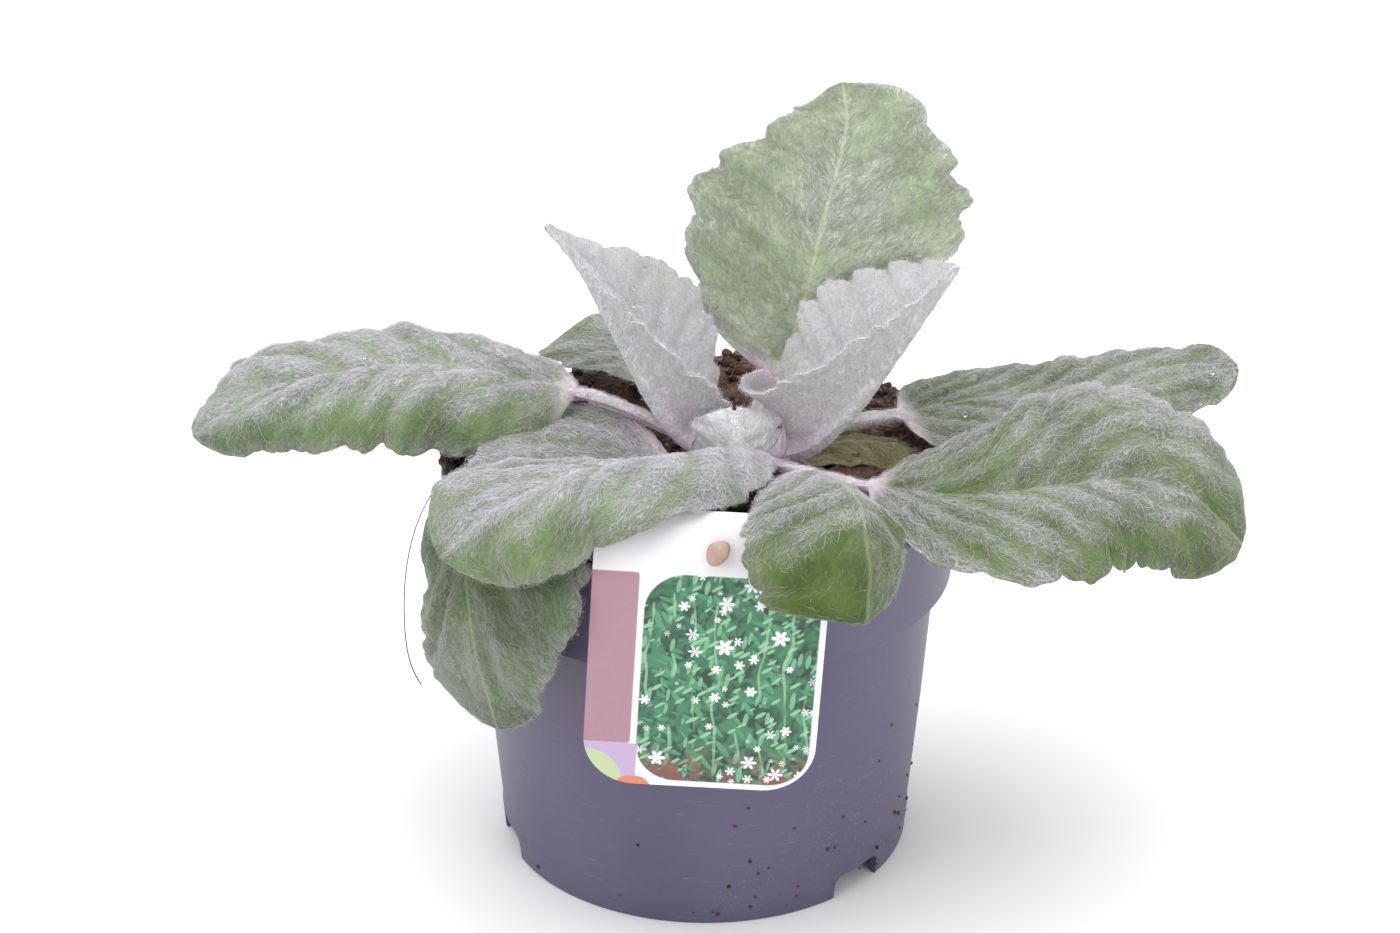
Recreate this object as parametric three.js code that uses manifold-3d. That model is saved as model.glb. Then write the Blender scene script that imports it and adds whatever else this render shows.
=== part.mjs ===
// Potted silver sage: a nursery pot with soil, a taproot with its crown, woolly leaves,
// a picture tag and the peg that holds the tag. Millimetres, +Z up, the origin at the
// centre of the pot's underside, the tag on the -Y side.

import * as THREE from 'three';
import { mergeVertices } from 'three/addons/utils/BufferGeometryUtils.js';
import Module from 'manifold-3d';

const wasm = await Module();
wasm.setup();

// Overall sizes
const POT_HEIGHT = 140;
const POT_LIP_RADIUS = 90;
const POT_FOOT_RADIUS = 71.4;
const COLLAR_BOTTOM = 102.8;
const COLLAR_RADIUS = 84.5;
const BODY_TOP_RADIUS = 79.1;
const WALL = 1.6;
const ROUND_SEGMENTS = 60;
const GAP = 0.3;
const LEAF_GAP = 0.45;

// Drainage
const NOTCH_ANGLES = [-43, -163, 77];
const NOTCH_WIDTH = 22;
const NOTCH_HEIGHT = 9;
const DRAIN_HOLE_RADIUS = 4;
const DRAIN_HOLE_RING = 61;
const DRAIN_HOLES = 8;
const CHANNEL_INNER_RADIUS = 51;
const CHANNEL_TOP = 11;
const BASE_THICKNESS = 2;

// Soil
const SOIL_LEVEL = 136.5;
const SOIL_RINGS = [12, 24, 36, 48, 60, 70, 78];
const SOIL_LUMP = 1.2;

// Crown and taproot
const CROWN_X = 11;
const CROWN_Y = 4;
const CROWN_RADIUS = 12;
const CROWN_TOP = 147;
const ROOT_TIP = 62;
const ROOT_PROFILE = [
  [2, ROOT_TIP],
  [4.5, 80],
  [7, 105],
  [9, 122],
  [CROWN_RADIUS, 136],
  [CROWN_RADIUS, 140],
  [9.5, 144.5],
  [5, 146.6],
];

// Leaves
const BLADE_THICKNESS = 0.9;
const PETIOLE_HALF_WIDTH = 3.2;
const RIB_DEPTH = 3.6;
const PETIOLE_STATIONS = 3;
const STATIONS_PER_LOBE = 3;
const VEIN_RELIEF = 1.2;
const COLUMN_FRACTIONS = [0.4, 0.75, 1];

// Tag and peg
const TAG_WIDTH = 75;
const TAG_LENGTH = 98;
const TAG_THICKNESS = 0.7;
const TAG_HEAD_CORNER = 7;
const TAG_FOOT_CORNER = 17;
const TAG_BOTTOM = 66;
const TAG_TURN = -3.5;
const TAG_BEND_START = 139.5;
const TAG_BEND_RADIUS = 24;
const TAG_PLANE = -(POT_LIP_RADIUS + GAP + 0.1 + TAG_THICKNESS / 2);
const PEG_RADIUS = 1.6;
const PEG_X = 3.6;
const PEG_HEIGHT = 149.5;
const PEG_LENGTH = 42;
const PEG_SLOPE = 42;
const PEG_STAND_OFF = 3;

const MATERIALS = {
  pot_plastic: { color: 0x4a4a5c, roughness: 0.55, metalness: 0 },
  soil_peat: { color: 0x3a2a22, roughness: 1, metalness: 0 },
  crown_wool: { color: 0xd9cfd6, roughness: 0.95, metalness: 0 },
  leaf_wool: { color: 0x9aa88a, roughness: 0.9, metalness: 0 },
  leaf_young_wool: { color: 0xd8dad2, roughness: 0.95, metalness: 0 },
  leaf_old: { color: 0x7d8450, roughness: 0.9, metalness: 0 },
  tag_plastic: { color: 0xf2f2f0, roughness: 0.4, metalness: 0 },
  peg_tan: { color: 0xc49a76, roughness: 0.6, metalness: 0 },
};

// Each leaf: its midrib from the crown to the tip, the share of that length that is
// petiole, half widths of the blade from base to tip, left side then right side, the
// slope at which each half leaves the midrib, how far it curls, the forward sweep of
// its veins, and its lobes.
const LEAVES = [
  {
    name: 'leaf_heart',
    slot: 'leaf_young_wool',
    spine: [[11, -5, 141], [11, -11.5, 143], [10.5, -15, 150], [10, -15.5, 158], [9.5, -14, 165]],
    petiole: 0.04,
    width: [[15, 19, 19, 18, 13], [15, 20, 22, 22, 15]],
    caps: [0.06, 0.22],
    fold: [[10, 8], [10, 8]],
    curl: [[62, 45], [62, 45]],
    sweep: [[0, 0.1, 0.1], [0, 0.1, 0.1]],
    side: [1, 0, 0],
    lobes: 4,
    lobeDepth: 0.1,
    ruffle: 0.7,
    relief: 0.4,
  },
  {
    name: 'leaf_inner_right',
    slot: 'leaf_young_wool',
    spine: [[17, 5, 143], [32, 2, 143], [49, 2, 158], [64, 4, 179], [75, 6, 195], [84, 8, 208]],
    petiole: 0.1,
    width: [[16, 32, 40, 40, 32, 21, 8], [31, 38, 36, 30, 23, 15, 7]],
    caps: [0.05, 0.1],
    fold: [[60, 50, 20], [88, 58, 42]],
    curl: [[-10, -20, -20], [-10, -20, -30]],
    sweep: [[0, 0.25, 0.35, 0.3, 0.1], [-0.6, -0.3, 0.3, 0.3, 0.1]],
    lobes: 7,
    lobeDepth: 0.14,
    ruffle: 0.5,
    relief: 0.5,
  },
  {
    name: 'leaf_inner_left',
    slot: 'leaf_young_wool',
    spine: [[6, 5, 144], [-5, 4, 146], [-17, 6, 160], [-30, 8, 185], [-42, 8, 208], [-53, 6, 223]],
    petiole: 0.1,
    width: [[24, 28, 24, 20, 15, 9, 5], [16, 32, 39, 35, 22, 11, 5]],
    caps: [0.1, 0.1],
    fold: [[78, 52, 40], [60, 45, 30]],
    curl: [[-10, -30, -60], [-10, -20, -60]],
    sweep: [[-0.8, 0, 0.35, 0.3, 0.1], [0, 0.25, 0.35, 0.3, 0.1]],
    lobes: 7,
    lobeDepth: 0.14,
    ruffle: 0.5,
    relief: 0.5,
  },
  {
    name: 'leaf_back',
    slot: 'leaf_wool',
    spine: [[13, 12, 140], [24, 25, 162], [32, 34, 178], [41, 48, 211], [48, 59, 238], [47, 66, 252]],
    petiole: 0.2,
    width: [[16, 42, 49, 44, 31, 21, 14], [8, 26, 44, 50, 44, 31, 17]],
    caps: [0.1, 0.16],
    fold: [[14, 6], [14, 6]],
    curl: [[-20, -10], [-14, -6]],
    sweep: [[-0.2, 0.25, 0.35, 0.3, 0.1], [-0.2, 0.25, 0.35, 0.3, 0.1]],
    side: [-1, 0.15, 0],
    lobes: 6,
    lobeDepth: 0.13,
  },
  {
    name: 'leaf_front_left',
    slot: 'leaf_wool',
    spine: [
      [9, -4, 144], [10, -14, 151], [-5, -34, 158], [-21, -54, 165],
      [-42, -63, 165], [-57, -69, 161], [-71, -74, 155], [-84, -79, 143],
    ],
    petiole: 0.08,
    width: [[12, 28, 37, 41, 39, 33, 20], [6, 10, 14, 23, 34, 37, 26]],
    caps: [0.08, 0.12],
    fold: [[22, 32, 30, 10], [-30, -10, 5]],
    curl: [[-30, -70, -95, -60], [-20, -20]],
    sweep: [[-0.4, 0, 0.2, 0.2, 0], [0, 0.2, 0.2, 0.1, 0]],
    lobes: 7,
    lobeDepth: 0.08,
  },
  {
    name: 'leaf_front_right',
    slot: 'leaf_wool',
    spine: [
      [15, -5, 142], [31, -30, 152], [42, -58, 160], [48, -80, 163],
      [50, -92, 155], [51, -96, 145], [50, -97, 130],
    ],
    petiole: 0.3,
    width: [[8, 14, 18, 20, 24, 23, 18], [14, 25, 35, 39, 41, 38, 30]],
    caps: [0.1, 0.06],
    fold: [[-30, -25], [0, 0]],
    curl: [[-30, -20], [-6, -6]],
    sweep: [[0, 0], [0, 0.2, 0.2, 0.1, -0.1]],
    lobes: 5,
    lobeDepth: 0.08,
  },
  {
    name: 'leaf_right_front',
    slot: 'leaf_wool',
    spine: [
      [19, -1, 141], [44, -24, 145], [62, -32, 145], [88, -38, 145],
      [118, -40, 150], [138, -42, 153], [158, -46, 149], [175, -50, 134],
    ],
    petiole: 0.26,
    width: [[4, 28, 46, 51, 47, 36, 22], [10, 32, 44, 40, 35, 31, 20]],
    caps: [0.08, 0.12],
    fold: [[50, 50, 30], [8, 0, -5, -5]],
    curl: [[-60, -60, -50], [0, -40, -65, -50]],
    sweep: [[0, 0.2, 0.2, 0.1, 0], [-0.4, 0, 0.15, 0, 0.3]],
    lobes: 7,
    lobeDepth: 0.1,
  },
  {
    name: 'leaf_right_back',
    slot: 'leaf_wool',
    spine: [
      [19, 9, 141], [50, 24, 144], [70, 28, 145], [93, 34, 147],
      [120, 38, 147], [154, 42, 150], [186, 42, 156],
    ],
    petiole: 0.3,
    width: [[14, 20, 23, 26, 27, 24, 22], [27, 39, 34, 29, 25, 19, 14]],
    caps: [0.08, 0.1],
    fold: [[5, 5], [3, 0, -5]],
    curl: [[10, -10], [0, -20, -30]],
    sweep: [[-0.2, 0.2, 0.2, 0.1, 0], [-0.4, 0.1, 0.2, 0.1, 0]],
    lobes: 7,
    lobeDepth: 0.1,
  },
  {
    name: 'leaf_left',
    slot: 'leaf_wool',
    spine: [
      [3, 5, 142], [-22, 12, 153], [-39, 18, 157], [-60, 20, 160], [-80, 20, 164],
      [-105, 18, 167], [-123, 14, 166], [-148, 6, 163], [-173, -2, 150],
    ],
    petiole: 0.28,
    width: [[18, 38, 43, 41, 35, 28, 18], [14, 28, 36, 38, 38, 38, 28]],
    caps: [0.1, 0.14],
    fold: [[18, 20], [30, 25]],
    curl: [[-92, -95], [-60, -60]],
    sweep: [[-0.2, 0.2, 0.3, 0.3, 0.1], [-0.4, 0.2, 0.3, 0.3, 0.1]],
    lobes: 7,
    lobeDepth: 0.12,
  },
  {
    name: 'leaf_front_left_hanging',
    slot: 'leaf_wool',
    spine: [
      [3, -3, 141], [-14, -8, 143], [-40, -17, 145], [-61, -32, 146],
      [-76, -53, 144.5], [-77, -66, 132], [-75, -74, 111], [-68, -76, 79],
    ],
    petiole: 0.09,
    width: [[16, 30, 35, 48, 45, 28, 16], [26, 40, 23, 15, 22, 37, 44]],
    caps: [0.08, 0.1],
    fold: [[0, 4, -5], [24, 18, 0]],
    curl: [[-5, -20], [-20, -30]],
    sweep: [[-0.2, 0.25, 0.35, 0.3, 0.1], [-0.2, 0.25, 0.35, 0.3, 0.1]],
    lobes: 8,
    lobeDepth: 0.08,
  },
  {
    name: 'leaf_back_left',
    slot: 'leaf_wool',
    spine: [[7, 12, 141], [-6, 30, 149], [-18, 48, 154], [-29, 62, 158], [-41, 74, 162]],
    petiole: 0.46,
    width: [[6, 14, 22, 28, 30, 28, 20], [8, 18, 25, 28, 25, 20, 14]],
    caps: [0.1, 0.3],
    fold: [[0, 0], [10, 0]],
    curl: [[-20, -20], [-20, -20]],
    sweep: [[-0.2, 0.25, 0.35, 0.3, 0.1], [-0.2, 0.25, 0.35, 0.3, 0.1]],
    lobes: 4,
    lobeDepth: 0.1,
    relief: 0.4,
  },
  {
    name: 'leaf_low_right',
    slot: 'leaf_old',
    spine: [[21, 3, 139], [46, 12, 141], [60, 14, 140], [76, 10, 138]],
    petiole: 0.15,
    width: [[6, 8, 9, 9, 6], [10, 14, 16, 15, 10]],
    caps: [0.1, 0.15],
    fold: [[10, 0], [10, 0]],
    curl: [[-30, -30], [-30, -30]],
    sweep: [[0, 0.2, 0.1], [0, 0.2, 0.1]],
    lobes: 5,
    lobeDepth: 0.05,
  },
];

function buildGeometry(points, faces) {
  const geometry = new THREE.BufferGeometry();
  geometry.setAttribute('position', new THREE.Float32BufferAttribute(points.flat(), 3));
  geometry.setIndex(faces.flat());
  return geometry;
}

// A closed geometry as a solid that can be joined and cut.
function toSolid(geometry) {
  const bare = geometry.clone();
  bare.deleteAttribute('normal');
  bare.deleteAttribute('uv');
  const welded = mergeVertices(bare, 1e-4);
  const faces = withoutSlivers(Array.from(welded.index.array));
  const solid = solidOf(welded.attributes.position.array, faces);
  return solid.volume() < 0 ? solidOf(welded.attributes.position.array, turnedOver(faces)) : solid;
}

function solidOf(positions, faces) {
  return new wasm.Manifold(new wasm.Mesh({
    numProp: 3,
    vertProperties: new Float32Array(positions),
    triVerts: new Uint32Array(faces),
  }));
}

function withoutSlivers(faces) {
  const kept = [];
  for (let i = 0; i < faces.length; i += 3) {
    pushFace(kept, faces[i], faces[i + 1], faces[i + 2]);
  }
  return kept.flat();
}

function turnedOver(faces) {
  const flipped = [...faces];
  for (let i = 0; i < faces.length; i += 3) {
    flipped[i] = faces[i + 1];
    flipped[i + 1] = faces[i];
  }
  return flipped;
}

function toGeometry(solid) {
  const mesh = solid.getMesh();
  const geometry = new THREE.BufferGeometry();
  geometry.setAttribute('position', new THREE.BufferAttribute(new Float32Array(mesh.vertProperties), 3));
  geometry.setIndex(Array.from(mesh.triVerts));
  return geometry;
}

function joined(solids) {
  return solids.reduce((whole, solid) => whole.add(solid));
}

// The largest connected shell of a solid, without the crumbs a cut can leave.
function largestShell(solid) {
  const geometry = toGeometry(solid);
  const index = Array.from(geometry.index.array);
  const owner = Array.from({ length: geometry.attributes.position.count }, (_, k) => k);
  const find = (k) => {
    let root = k;
    while (owner[root] !== root) {
      root = owner[root];
    }
    owner[k] = root;
    return root;
  };
  for (let i = 0; i < index.length; i += 3) {
    owner[find(index[i])] = find(index[i + 1]);
    owner[find(index[i + 1])] = find(index[i + 2]);
  }
  const shells = new Map();
  for (let i = 0; i < index.length; i += 3) {
    const root = find(index[i]);
    shells.set(root, [...(shells.get(root) ?? []), index[i], index[i + 1], index[i + 2]]);
  }
  const faces = [...shells.values()].reduce((best, shell) => (shell.length > best.length ? shell : best));
  return solidOf(geometry.attributes.position.array, faces);
}

function meshOf(name, slot, solid) {
  const look = MATERIALS[slot];
  const material = new THREE.MeshStandardMaterial(look);
  material.name = slot;
  const flat = toGeometry(solid).toNonIndexed();
  flat.computeVertexNormals();
  const mesh = new THREE.Mesh(flat, material);
  mesh.name = name;
  return mesh;
}

// A profile of [radius, height] points turned about +Z.
function turned(profile, segments) {
  const outline = profile.map(([radius, height]) => new THREE.Vector2(radius, height));
  return new THREE.LatheGeometry(outline, segments).rotateX(Math.PI / 2);
}

function pushFace(faces, a, b, c) {
  if (a !== b && b !== c && c !== a) {
    faces.push([a, b, c]);
  }
}

function rad(degrees) {
  return (degrees * Math.PI) / 180;
}

// Catmull-Rom through evenly spaced values.
function along(values, u) {
  if (values.length === 1) {
    return values[0];
  }
  const last = values.length - 1;
  const x = Math.min(Math.max(u, 0), 1) * last;
  const i = Math.min(Math.floor(x), last - 1);
  const w = x - i;
  const before = i > 0 ? values[i - 1] : 2 * values[0] - values[1];
  const after = i + 2 <= last ? values[i + 2] : 2 * values[last] - values[last - 1];
  const v0 = 0.5 * (values[i + 1] - before);
  const v1 = 0.5 * (after - values[i]);
  const rise = values[i] - values[i + 1];
  return (2 * rise + v0 + v1) * w ** 3 + (-3 * rise - 2 * v0 - v1) * w ** 2 + v0 * w + values[i];
}

// Pot: one moulded shell with a raised drainage channel round a flat centre.
function potSolid() {
  const foot = POT_FOOT_RADIUS;
  const top = POT_HEIGHT;
  const lip = POT_LIP_RADIUS;
  const shell = toSolid(turned([
    [0, 0],
    [CHANNEL_INNER_RADIUS + 1, 0],
    [CHANNEL_INNER_RADIUS + 2, CHANNEL_TOP - BASE_THICKNESS],
    [foot - WALL - 1, CHANNEL_TOP - BASE_THICKNESS],
    [foot - WALL - 0.6, 0],
    [foot, 0],
    [foot + 0.9, CHANNEL_TOP - 0.4],
    [foot + 0.6, CHANNEL_TOP + 0.3],
    [BODY_TOP_RADIUS, COLLAR_BOTTOM - 0.2],
    [COLLAR_RADIUS, COLLAR_BOTTOM],
    [COLLAR_RADIUS + 2.8, top - 4],
    [lip - 0.6, top - 3.4],
    [lip, top - 2.6],
    [lip, top - 0.8],
    [lip - 0.8, top],
    [lip - 3.4, top],
    [lip - 4.4, top - 1.2],
    [COLLAR_RADIUS - WALL, COLLAR_BOTTOM + 1.9],
    [BODY_TOP_RADIUS - WALL, COLLAR_BOTTOM + 1.5],
    [foot - WALL + 0.9, CHANNEL_TOP],
    [CHANNEL_INNER_RADIUS, CHANNEL_TOP],
    [CHANNEL_INNER_RADIUS - 1, BASE_THICKNESS],
    [0, BASE_THICKNESS],
  ], ROUND_SEGMENTS));
  return shell.subtract(notchCutters()).subtract(drainCutters());
}

// Round-topped openings in the foot ring that let water out.
function notchCutters() {
  const half = NOTCH_WIDTH / 2;
  const section = [
    [-half, -1],
    [half, -1],
    [half - 1, NOTCH_HEIGHT - 4],
    [half - 2.6, NOTCH_HEIGHT - 1.2],
    [half - 5, NOTCH_HEIGHT],
    [5 - half, NOTCH_HEIGHT],
    [2.6 - half, NOTCH_HEIGHT - 1.2],
    [1 - half, NOTCH_HEIGHT - 4],
  ];
  const outline = new THREE.Shape(section.map(([x, y]) => new THREE.Vector2(x, y)));
  const cutters = NOTCH_ANGLES.map((angle) => toSolid(
    new THREE.ExtrudeGeometry(outline, { depth: 16, bevelEnabled: false })
      .rotateX(Math.PI / 2)
      .rotateZ(Math.PI / 2)
      .translate(POT_FOOT_RADIUS - 9, 0, 0)
      .rotateZ(rad(angle)),
  ));
  return joined(cutters);
}

function drainCutters() {
  const holes = [];
  for (let k = 0; k < DRAIN_HOLES; k += 1) {
    const hole = new THREE.CylinderGeometry(DRAIN_HOLE_RADIUS, DRAIN_HOLE_RADIUS, 6, 16)
      .rotateX(Math.PI / 2)
      .translate(DRAIN_HOLE_RING, 0, CHANNEL_TOP - 1)
      .rotateZ((2 * Math.PI * (k + 0.5)) / DRAIN_HOLES);
    holes.push(toSolid(hole));
  }
  return joined(holes);
}

function soilHeight(x, y) {
  const lumps = Math.sin(x * 0.13 + 1.1) * Math.cos(y * 0.11 - 0.4)
    + 0.6 * Math.sin(x * 0.29 - y * 0.23)
    + 0.4 * Math.cos(x * 0.41 + y * 0.37 + 2);
  return SOIL_LEVEL + SOIL_LUMP * lumps;
}

// Soil: fills the pot with a small gap to its wall, lumpy on top.
function soilSolid() {
  const foot = POT_FOOT_RADIUS - WALL + 0.9 - GAP;
  const body = BODY_TOP_RADIUS - WALL - GAP;
  const rim = COLLAR_RADIUS - WALL - GAP + 1.9;
  const wall = [
    [CHANNEL_INNER_RADIUS - 1 - GAP, BASE_THICKNESS + GAP],
    [CHANNEL_INNER_RADIUS - GAP, CHANNEL_TOP + GAP],
    [foot, CHANNEL_TOP + GAP],
    [body, COLLAR_BOTTOM + 1.5 + GAP],
    [COLLAR_RADIUS - WALL - GAP, COLLAR_BOTTOM + 1.9 + GAP],
    [rim, SOIL_LEVEL - 3],
  ];
  const surface = [...SOIL_RINGS].reverse().map((radius) => [radius, SOIL_LEVEL]);
  const profile = [[0, BASE_THICKNESS + GAP], ...wall, ...surface, [0, SOIL_LEVEL]];
  const geometry = turned(profile, 48);
  const points = geometry.attributes.position;
  for (let k = 0; k < points.count; k += 1) {
    if (points.getZ(k) > SOIL_LEVEL - 0.1) {
      points.setZ(k, soilHeight(points.getX(k), points.getY(k)));
    }
  }
  return toSolid(geometry);
}

function rootProfile(grow) {
  const rows = ROOT_PROFILE.map(([radius, height]) => [radius + grow, height]);
  return [[0, ROOT_TIP - 2 - grow], ...rows, [0, CROWN_TOP + grow]];
}

// Crown and taproot: one body, a woolly knob that runs down into the soil.
function crownSolid(grow = 0) {
  return toSolid(turned(rootProfile(grow), 24).translate(CROWN_X, CROWN_Y, 0));
}

// Frames along a leaf: place, direction, left-pointing side and upward normal.
function leafFrames(leaf, stations) {
  const curve = new THREE.CatmullRomCurve3(
    leaf.spine.map((p) => new THREE.Vector3(...p)), false, 'catmullrom', 0.5,
  );
  curve.arcLengthDivisions = 800;
  const chord = new THREE.Vector3(...leaf.spine.at(-1)).sub(new THREE.Vector3(...leaf.spine[0]));
  const level = leaf.side
    ? new THREE.Vector3(...leaf.side).normalize()
    : new THREE.Vector3(-chord.y, chord.x, 0).normalize();
  return stations.map((u) => {
    const place = curve.getPointAt(u);
    const ahead = curve.getTangentAt(u);
    const side = level.clone().addScaledVector(ahead, -level.dot(ahead)).normalize();
    const normal = new THREE.Vector3().crossVectors(ahead, side);
    return { u, place, ahead, side, normal };
  });
}

function leafStations(leaf) {
  const stations = [];
  for (let k = 0; k < PETIOLE_STATIONS; k += 1) {
    stations.push((leaf.petiole * k) / PETIOLE_STATIONS);
  }
  const blade = leaf.lobes * STATIONS_PER_LOBE;
  for (let k = 0; k <= blade; k += 1) {
    stations.push(Math.min(leaf.petiole + ((1 - leaf.petiole) * k) / blade, 1));
  }
  return stations;
}

// Rounds the ends of the blade.
function endRounding(leaf, s) {
  const base = 1 - (1 - Math.min(s / leaf.caps[0], 1)) ** 2;
  const tip = 1 - (1 - Math.min((1 - s) / leaf.caps[1], 1)) ** 2;
  return Math.sqrt(Math.max(base, 0)) * Math.sqrt(Math.max(tip, 0));
}

function halfWidth(leaf, side, s) {
  const scallop = Math.abs(Math.sin(Math.PI * leaf.lobes * s)) ** 0.7;
  const notch = 1 - leaf.lobeDepth * (1 - scallop) * Math.min(8 * s, 1);
  const blade = s > 0 ? along(leaf.width[side], s) * endRounding(leaf, s) * notch : 0;
  return Math.max(blade, PETIOLE_HALF_WIDTH - 2.2 * s);
}

// Point of the blade's middle surface at arc length x out from the midrib.
function bladePoint(leaf, frame, side, x, width) {
  const s = Math.max((frame.u - leaf.petiole) / (1 - leaf.petiole), 0);
  const t = x / width;
  const open = Math.min(s * 8, 1);
  const slope = rad(along(leaf.fold[side], s)) * (s > 0 ? 1 : 0.3);
  let turn = rad(along(leaf.curl[side], s));
  turn = Math.abs(turn) < 1e-3 ? 1e-3 : turn;
  const across = (width * (Math.sin(slope + turn * t) - Math.sin(slope))) / turn;
  let up = (width * (Math.cos(slope) - Math.cos(slope + turn * t))) / turn;
  const phase = 2 * Math.PI * leaf.lobes * s;
  up += (leaf.ruffle ?? 0) * t * t * Math.sin(phase + 1.3 * side) * open;
  const relief = VEIN_RELIEF * (leaf.relief ?? 1) * Math.min(width / 25, 1);
  up += relief * Math.sin(Math.PI * t) ** 0.8 * Math.cos(phase) * open;
  const forward = across * along(leaf.sweep[side], s) * open;
  return frame.place.clone()
    .addScaledVector(frame.side, side === 0 ? across : -across)
    .addScaledVector(frame.normal, up)
    .addScaledVector(frame.ahead, forward);
}

function ribDepth(leaf, u, x) {
  const s = Math.max((u - leaf.petiole) / (1 - leaf.petiole), 0);
  const half = 3.4 - 1.2 * s;
  const depth = RIB_DEPTH * (1 - 0.8 * s);
  return depth * Math.sqrt(Math.max(0, 1 - (x / half) ** 2));
}

// One leaf as a closed skin: petiole, rib and blade in one body.
function leafSolid(leaf, grow = 0) {
  const frames = leafFrames(leaf, leafStations(leaf));
  const middle = frames.map((frame) => leafRow(leaf, frame, grow));
  const half = BLADE_THICKNESS / 2 + grow;
  const count = middle[0].length;
  const points = [];
  for (let i = 0; i < middle.length; i += 1) {
    for (let c = 0; c < count; c += 1) {
      const normal = rowNormal(middle, i, c);
      const { point, x } = middle[i][c];
      const upper = point.clone().addScaledVector(normal, half);
      const lower = point.clone().addScaledVector(normal, -half - ribDepth(leaf, frames[i].u, x));
      points.push(upper.toArray(), lower.toArray());
    }
  }
  return toSolid(buildGeometry(points, skinFaces(middle.length, count)));
}

// A leaf with the gap its neighbours keep from it.
function leafRoom(leaf) {
  return leafSolid(leaf, LEAF_GAP).add(leafSolid(leaf));
}

function leafRow(leaf, frame, grow) {
  const s = Math.max((frame.u - leaf.petiole) / (1 - leaf.petiole), 0);
  const sides = [0, 1].map((side) => {
    const width = halfWidth(leaf, side, s) + grow;
    const inner = Math.min(2.2, 0.45 * width);
    const stops = [inner, ...COLUMN_FRACTIONS.map((f) => inner + (width - inner) * f)];
    return stops.map((x) => ({ x, point: bladePoint(leaf, frame, side, x, width) }));
  });
  const centre = { x: 0, point: frame.place.clone() };
  return [...sides[0].reverse(), centre, ...sides[1]];
}

function rowNormal(rows, i, c) {
  const before = rows[Math.max(i - 1, 0)][c].point;
  const after = rows[Math.min(i + 1, rows.length - 1)][c].point;
  const left = rows[i][Math.max(c - 1, 0)].point;
  const right = rows[i][Math.min(c + 1, rows[i].length - 1)].point;
  const ahead = after.clone().sub(before);
  return right.clone().sub(left).cross(ahead).normalize();
}

// Faces of a skin whose points alternate upper, lower along each row.
function skinFaces(rows, count) {
  const upper = (i, c) => 2 * (i * count + c);
  const lower = (i, c) => 2 * (i * count + c) + 1;
  const faces = [];
  for (let i = 0; i + 1 < rows; i += 1) {
    for (let c = 0; c + 1 < count; c += 1) {
      pushQuad(faces, upper(i, c), upper(i, c + 1), upper(i + 1, c + 1), upper(i + 1, c));
      pushQuad(faces, lower(i + 1, c), lower(i + 1, c + 1), lower(i, c + 1), lower(i, c));
    }
    pushQuad(faces, upper(i, 0), upper(i + 1, 0), lower(i + 1, 0), lower(i, 0));
    const e = count - 1;
    pushQuad(faces, upper(i + 1, e), upper(i, e), lower(i, e), lower(i + 1, e));
  }
  for (let c = 0; c + 1 < count; c += 1) {
    pushQuad(faces, upper(0, c + 1), upper(0, c), lower(0, c), lower(0, c + 1));
    const r = rows - 1;
    pushQuad(faces, upper(r, c), upper(r, c + 1), lower(r, c + 1), lower(r, c));
  }
  return faces;
}

// A quad as two triangles, on the same diagonal on both faces of a blade.
function pushQuad(faces, a, b, c, d) {
  const alike = Math.min(a, c) % 2 === 0 && Math.min(b, d) % 2 === 0;
  if (alike) {
    faces.push([a, b, c], [a, c, d]);
  } else {
    faces.push([a, b, d], [b, c, d]);
  }
}

// Where a point of the flat label (x across, v up) lies once hung and bent back.
function tagPlace(x, v, depth) {
  const turn = rad(TAG_TURN);
  const middle = TAG_BOTTOM + TAG_LENGTH / 2;
  const across = x * Math.cos(turn) - (v - middle) * Math.sin(turn);
  const height = middle + x * Math.sin(turn) + (v - middle) * Math.cos(turn);
  if (height <= TAG_BEND_START) {
    return [across, TAG_PLANE + depth, height];
  }
  const angle = (height - TAG_BEND_START) / TAG_BEND_RADIUS;
  const radius = TAG_BEND_RADIUS - depth;
  return [
    across,
    TAG_PLANE + TAG_BEND_RADIUS - radius * Math.cos(angle),
    TAG_BEND_START + radius * Math.sin(angle),
  ];
}

// How far a round corner has drawn the tag's edge in, at a distance from its end.
function cornerInset(corner, reach) {
  if (reach >= corner) {
    return 0;
  }
  return corner - Math.sqrt(corner ** 2 - (corner - reach) ** 2);
}

// Tag: a thin sheet with round corners, its head bent back over the lip.
function tagSolid() {
  const rows = [];
  const heights = [
    ...[0, 0.8, 2, 4, 7.5, 12, TAG_FOOT_CORNER, 38, 66, 74, 78, 82, 86],
    ...[TAG_HEAD_CORNER, 4, 2, 0.8, 0].map((step) => TAG_LENGTH - step),
  ];
  for (const height of heights) {
    const foot = cornerInset(TAG_FOOT_CORNER, height);
    const head = cornerInset(TAG_HEAD_CORNER, TAG_LENGTH - height);
    const half = TAG_WIDTH / 2 - foot - head;
    rows.push([-1, -0.5, 0, 0.5, 1].map((f) => [f * half, TAG_BOTTOM + height]));
  }
  const points = [];
  for (const row of rows) {
    for (const [x, v] of row) {
      points.push(tagPlace(x, v, -TAG_THICKNESS / 2), tagPlace(x, v, TAG_THICKNESS / 2));
    }
  }
  return toSolid(buildGeometry(points, skinFaces(rows.length, 5)));
}

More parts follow.
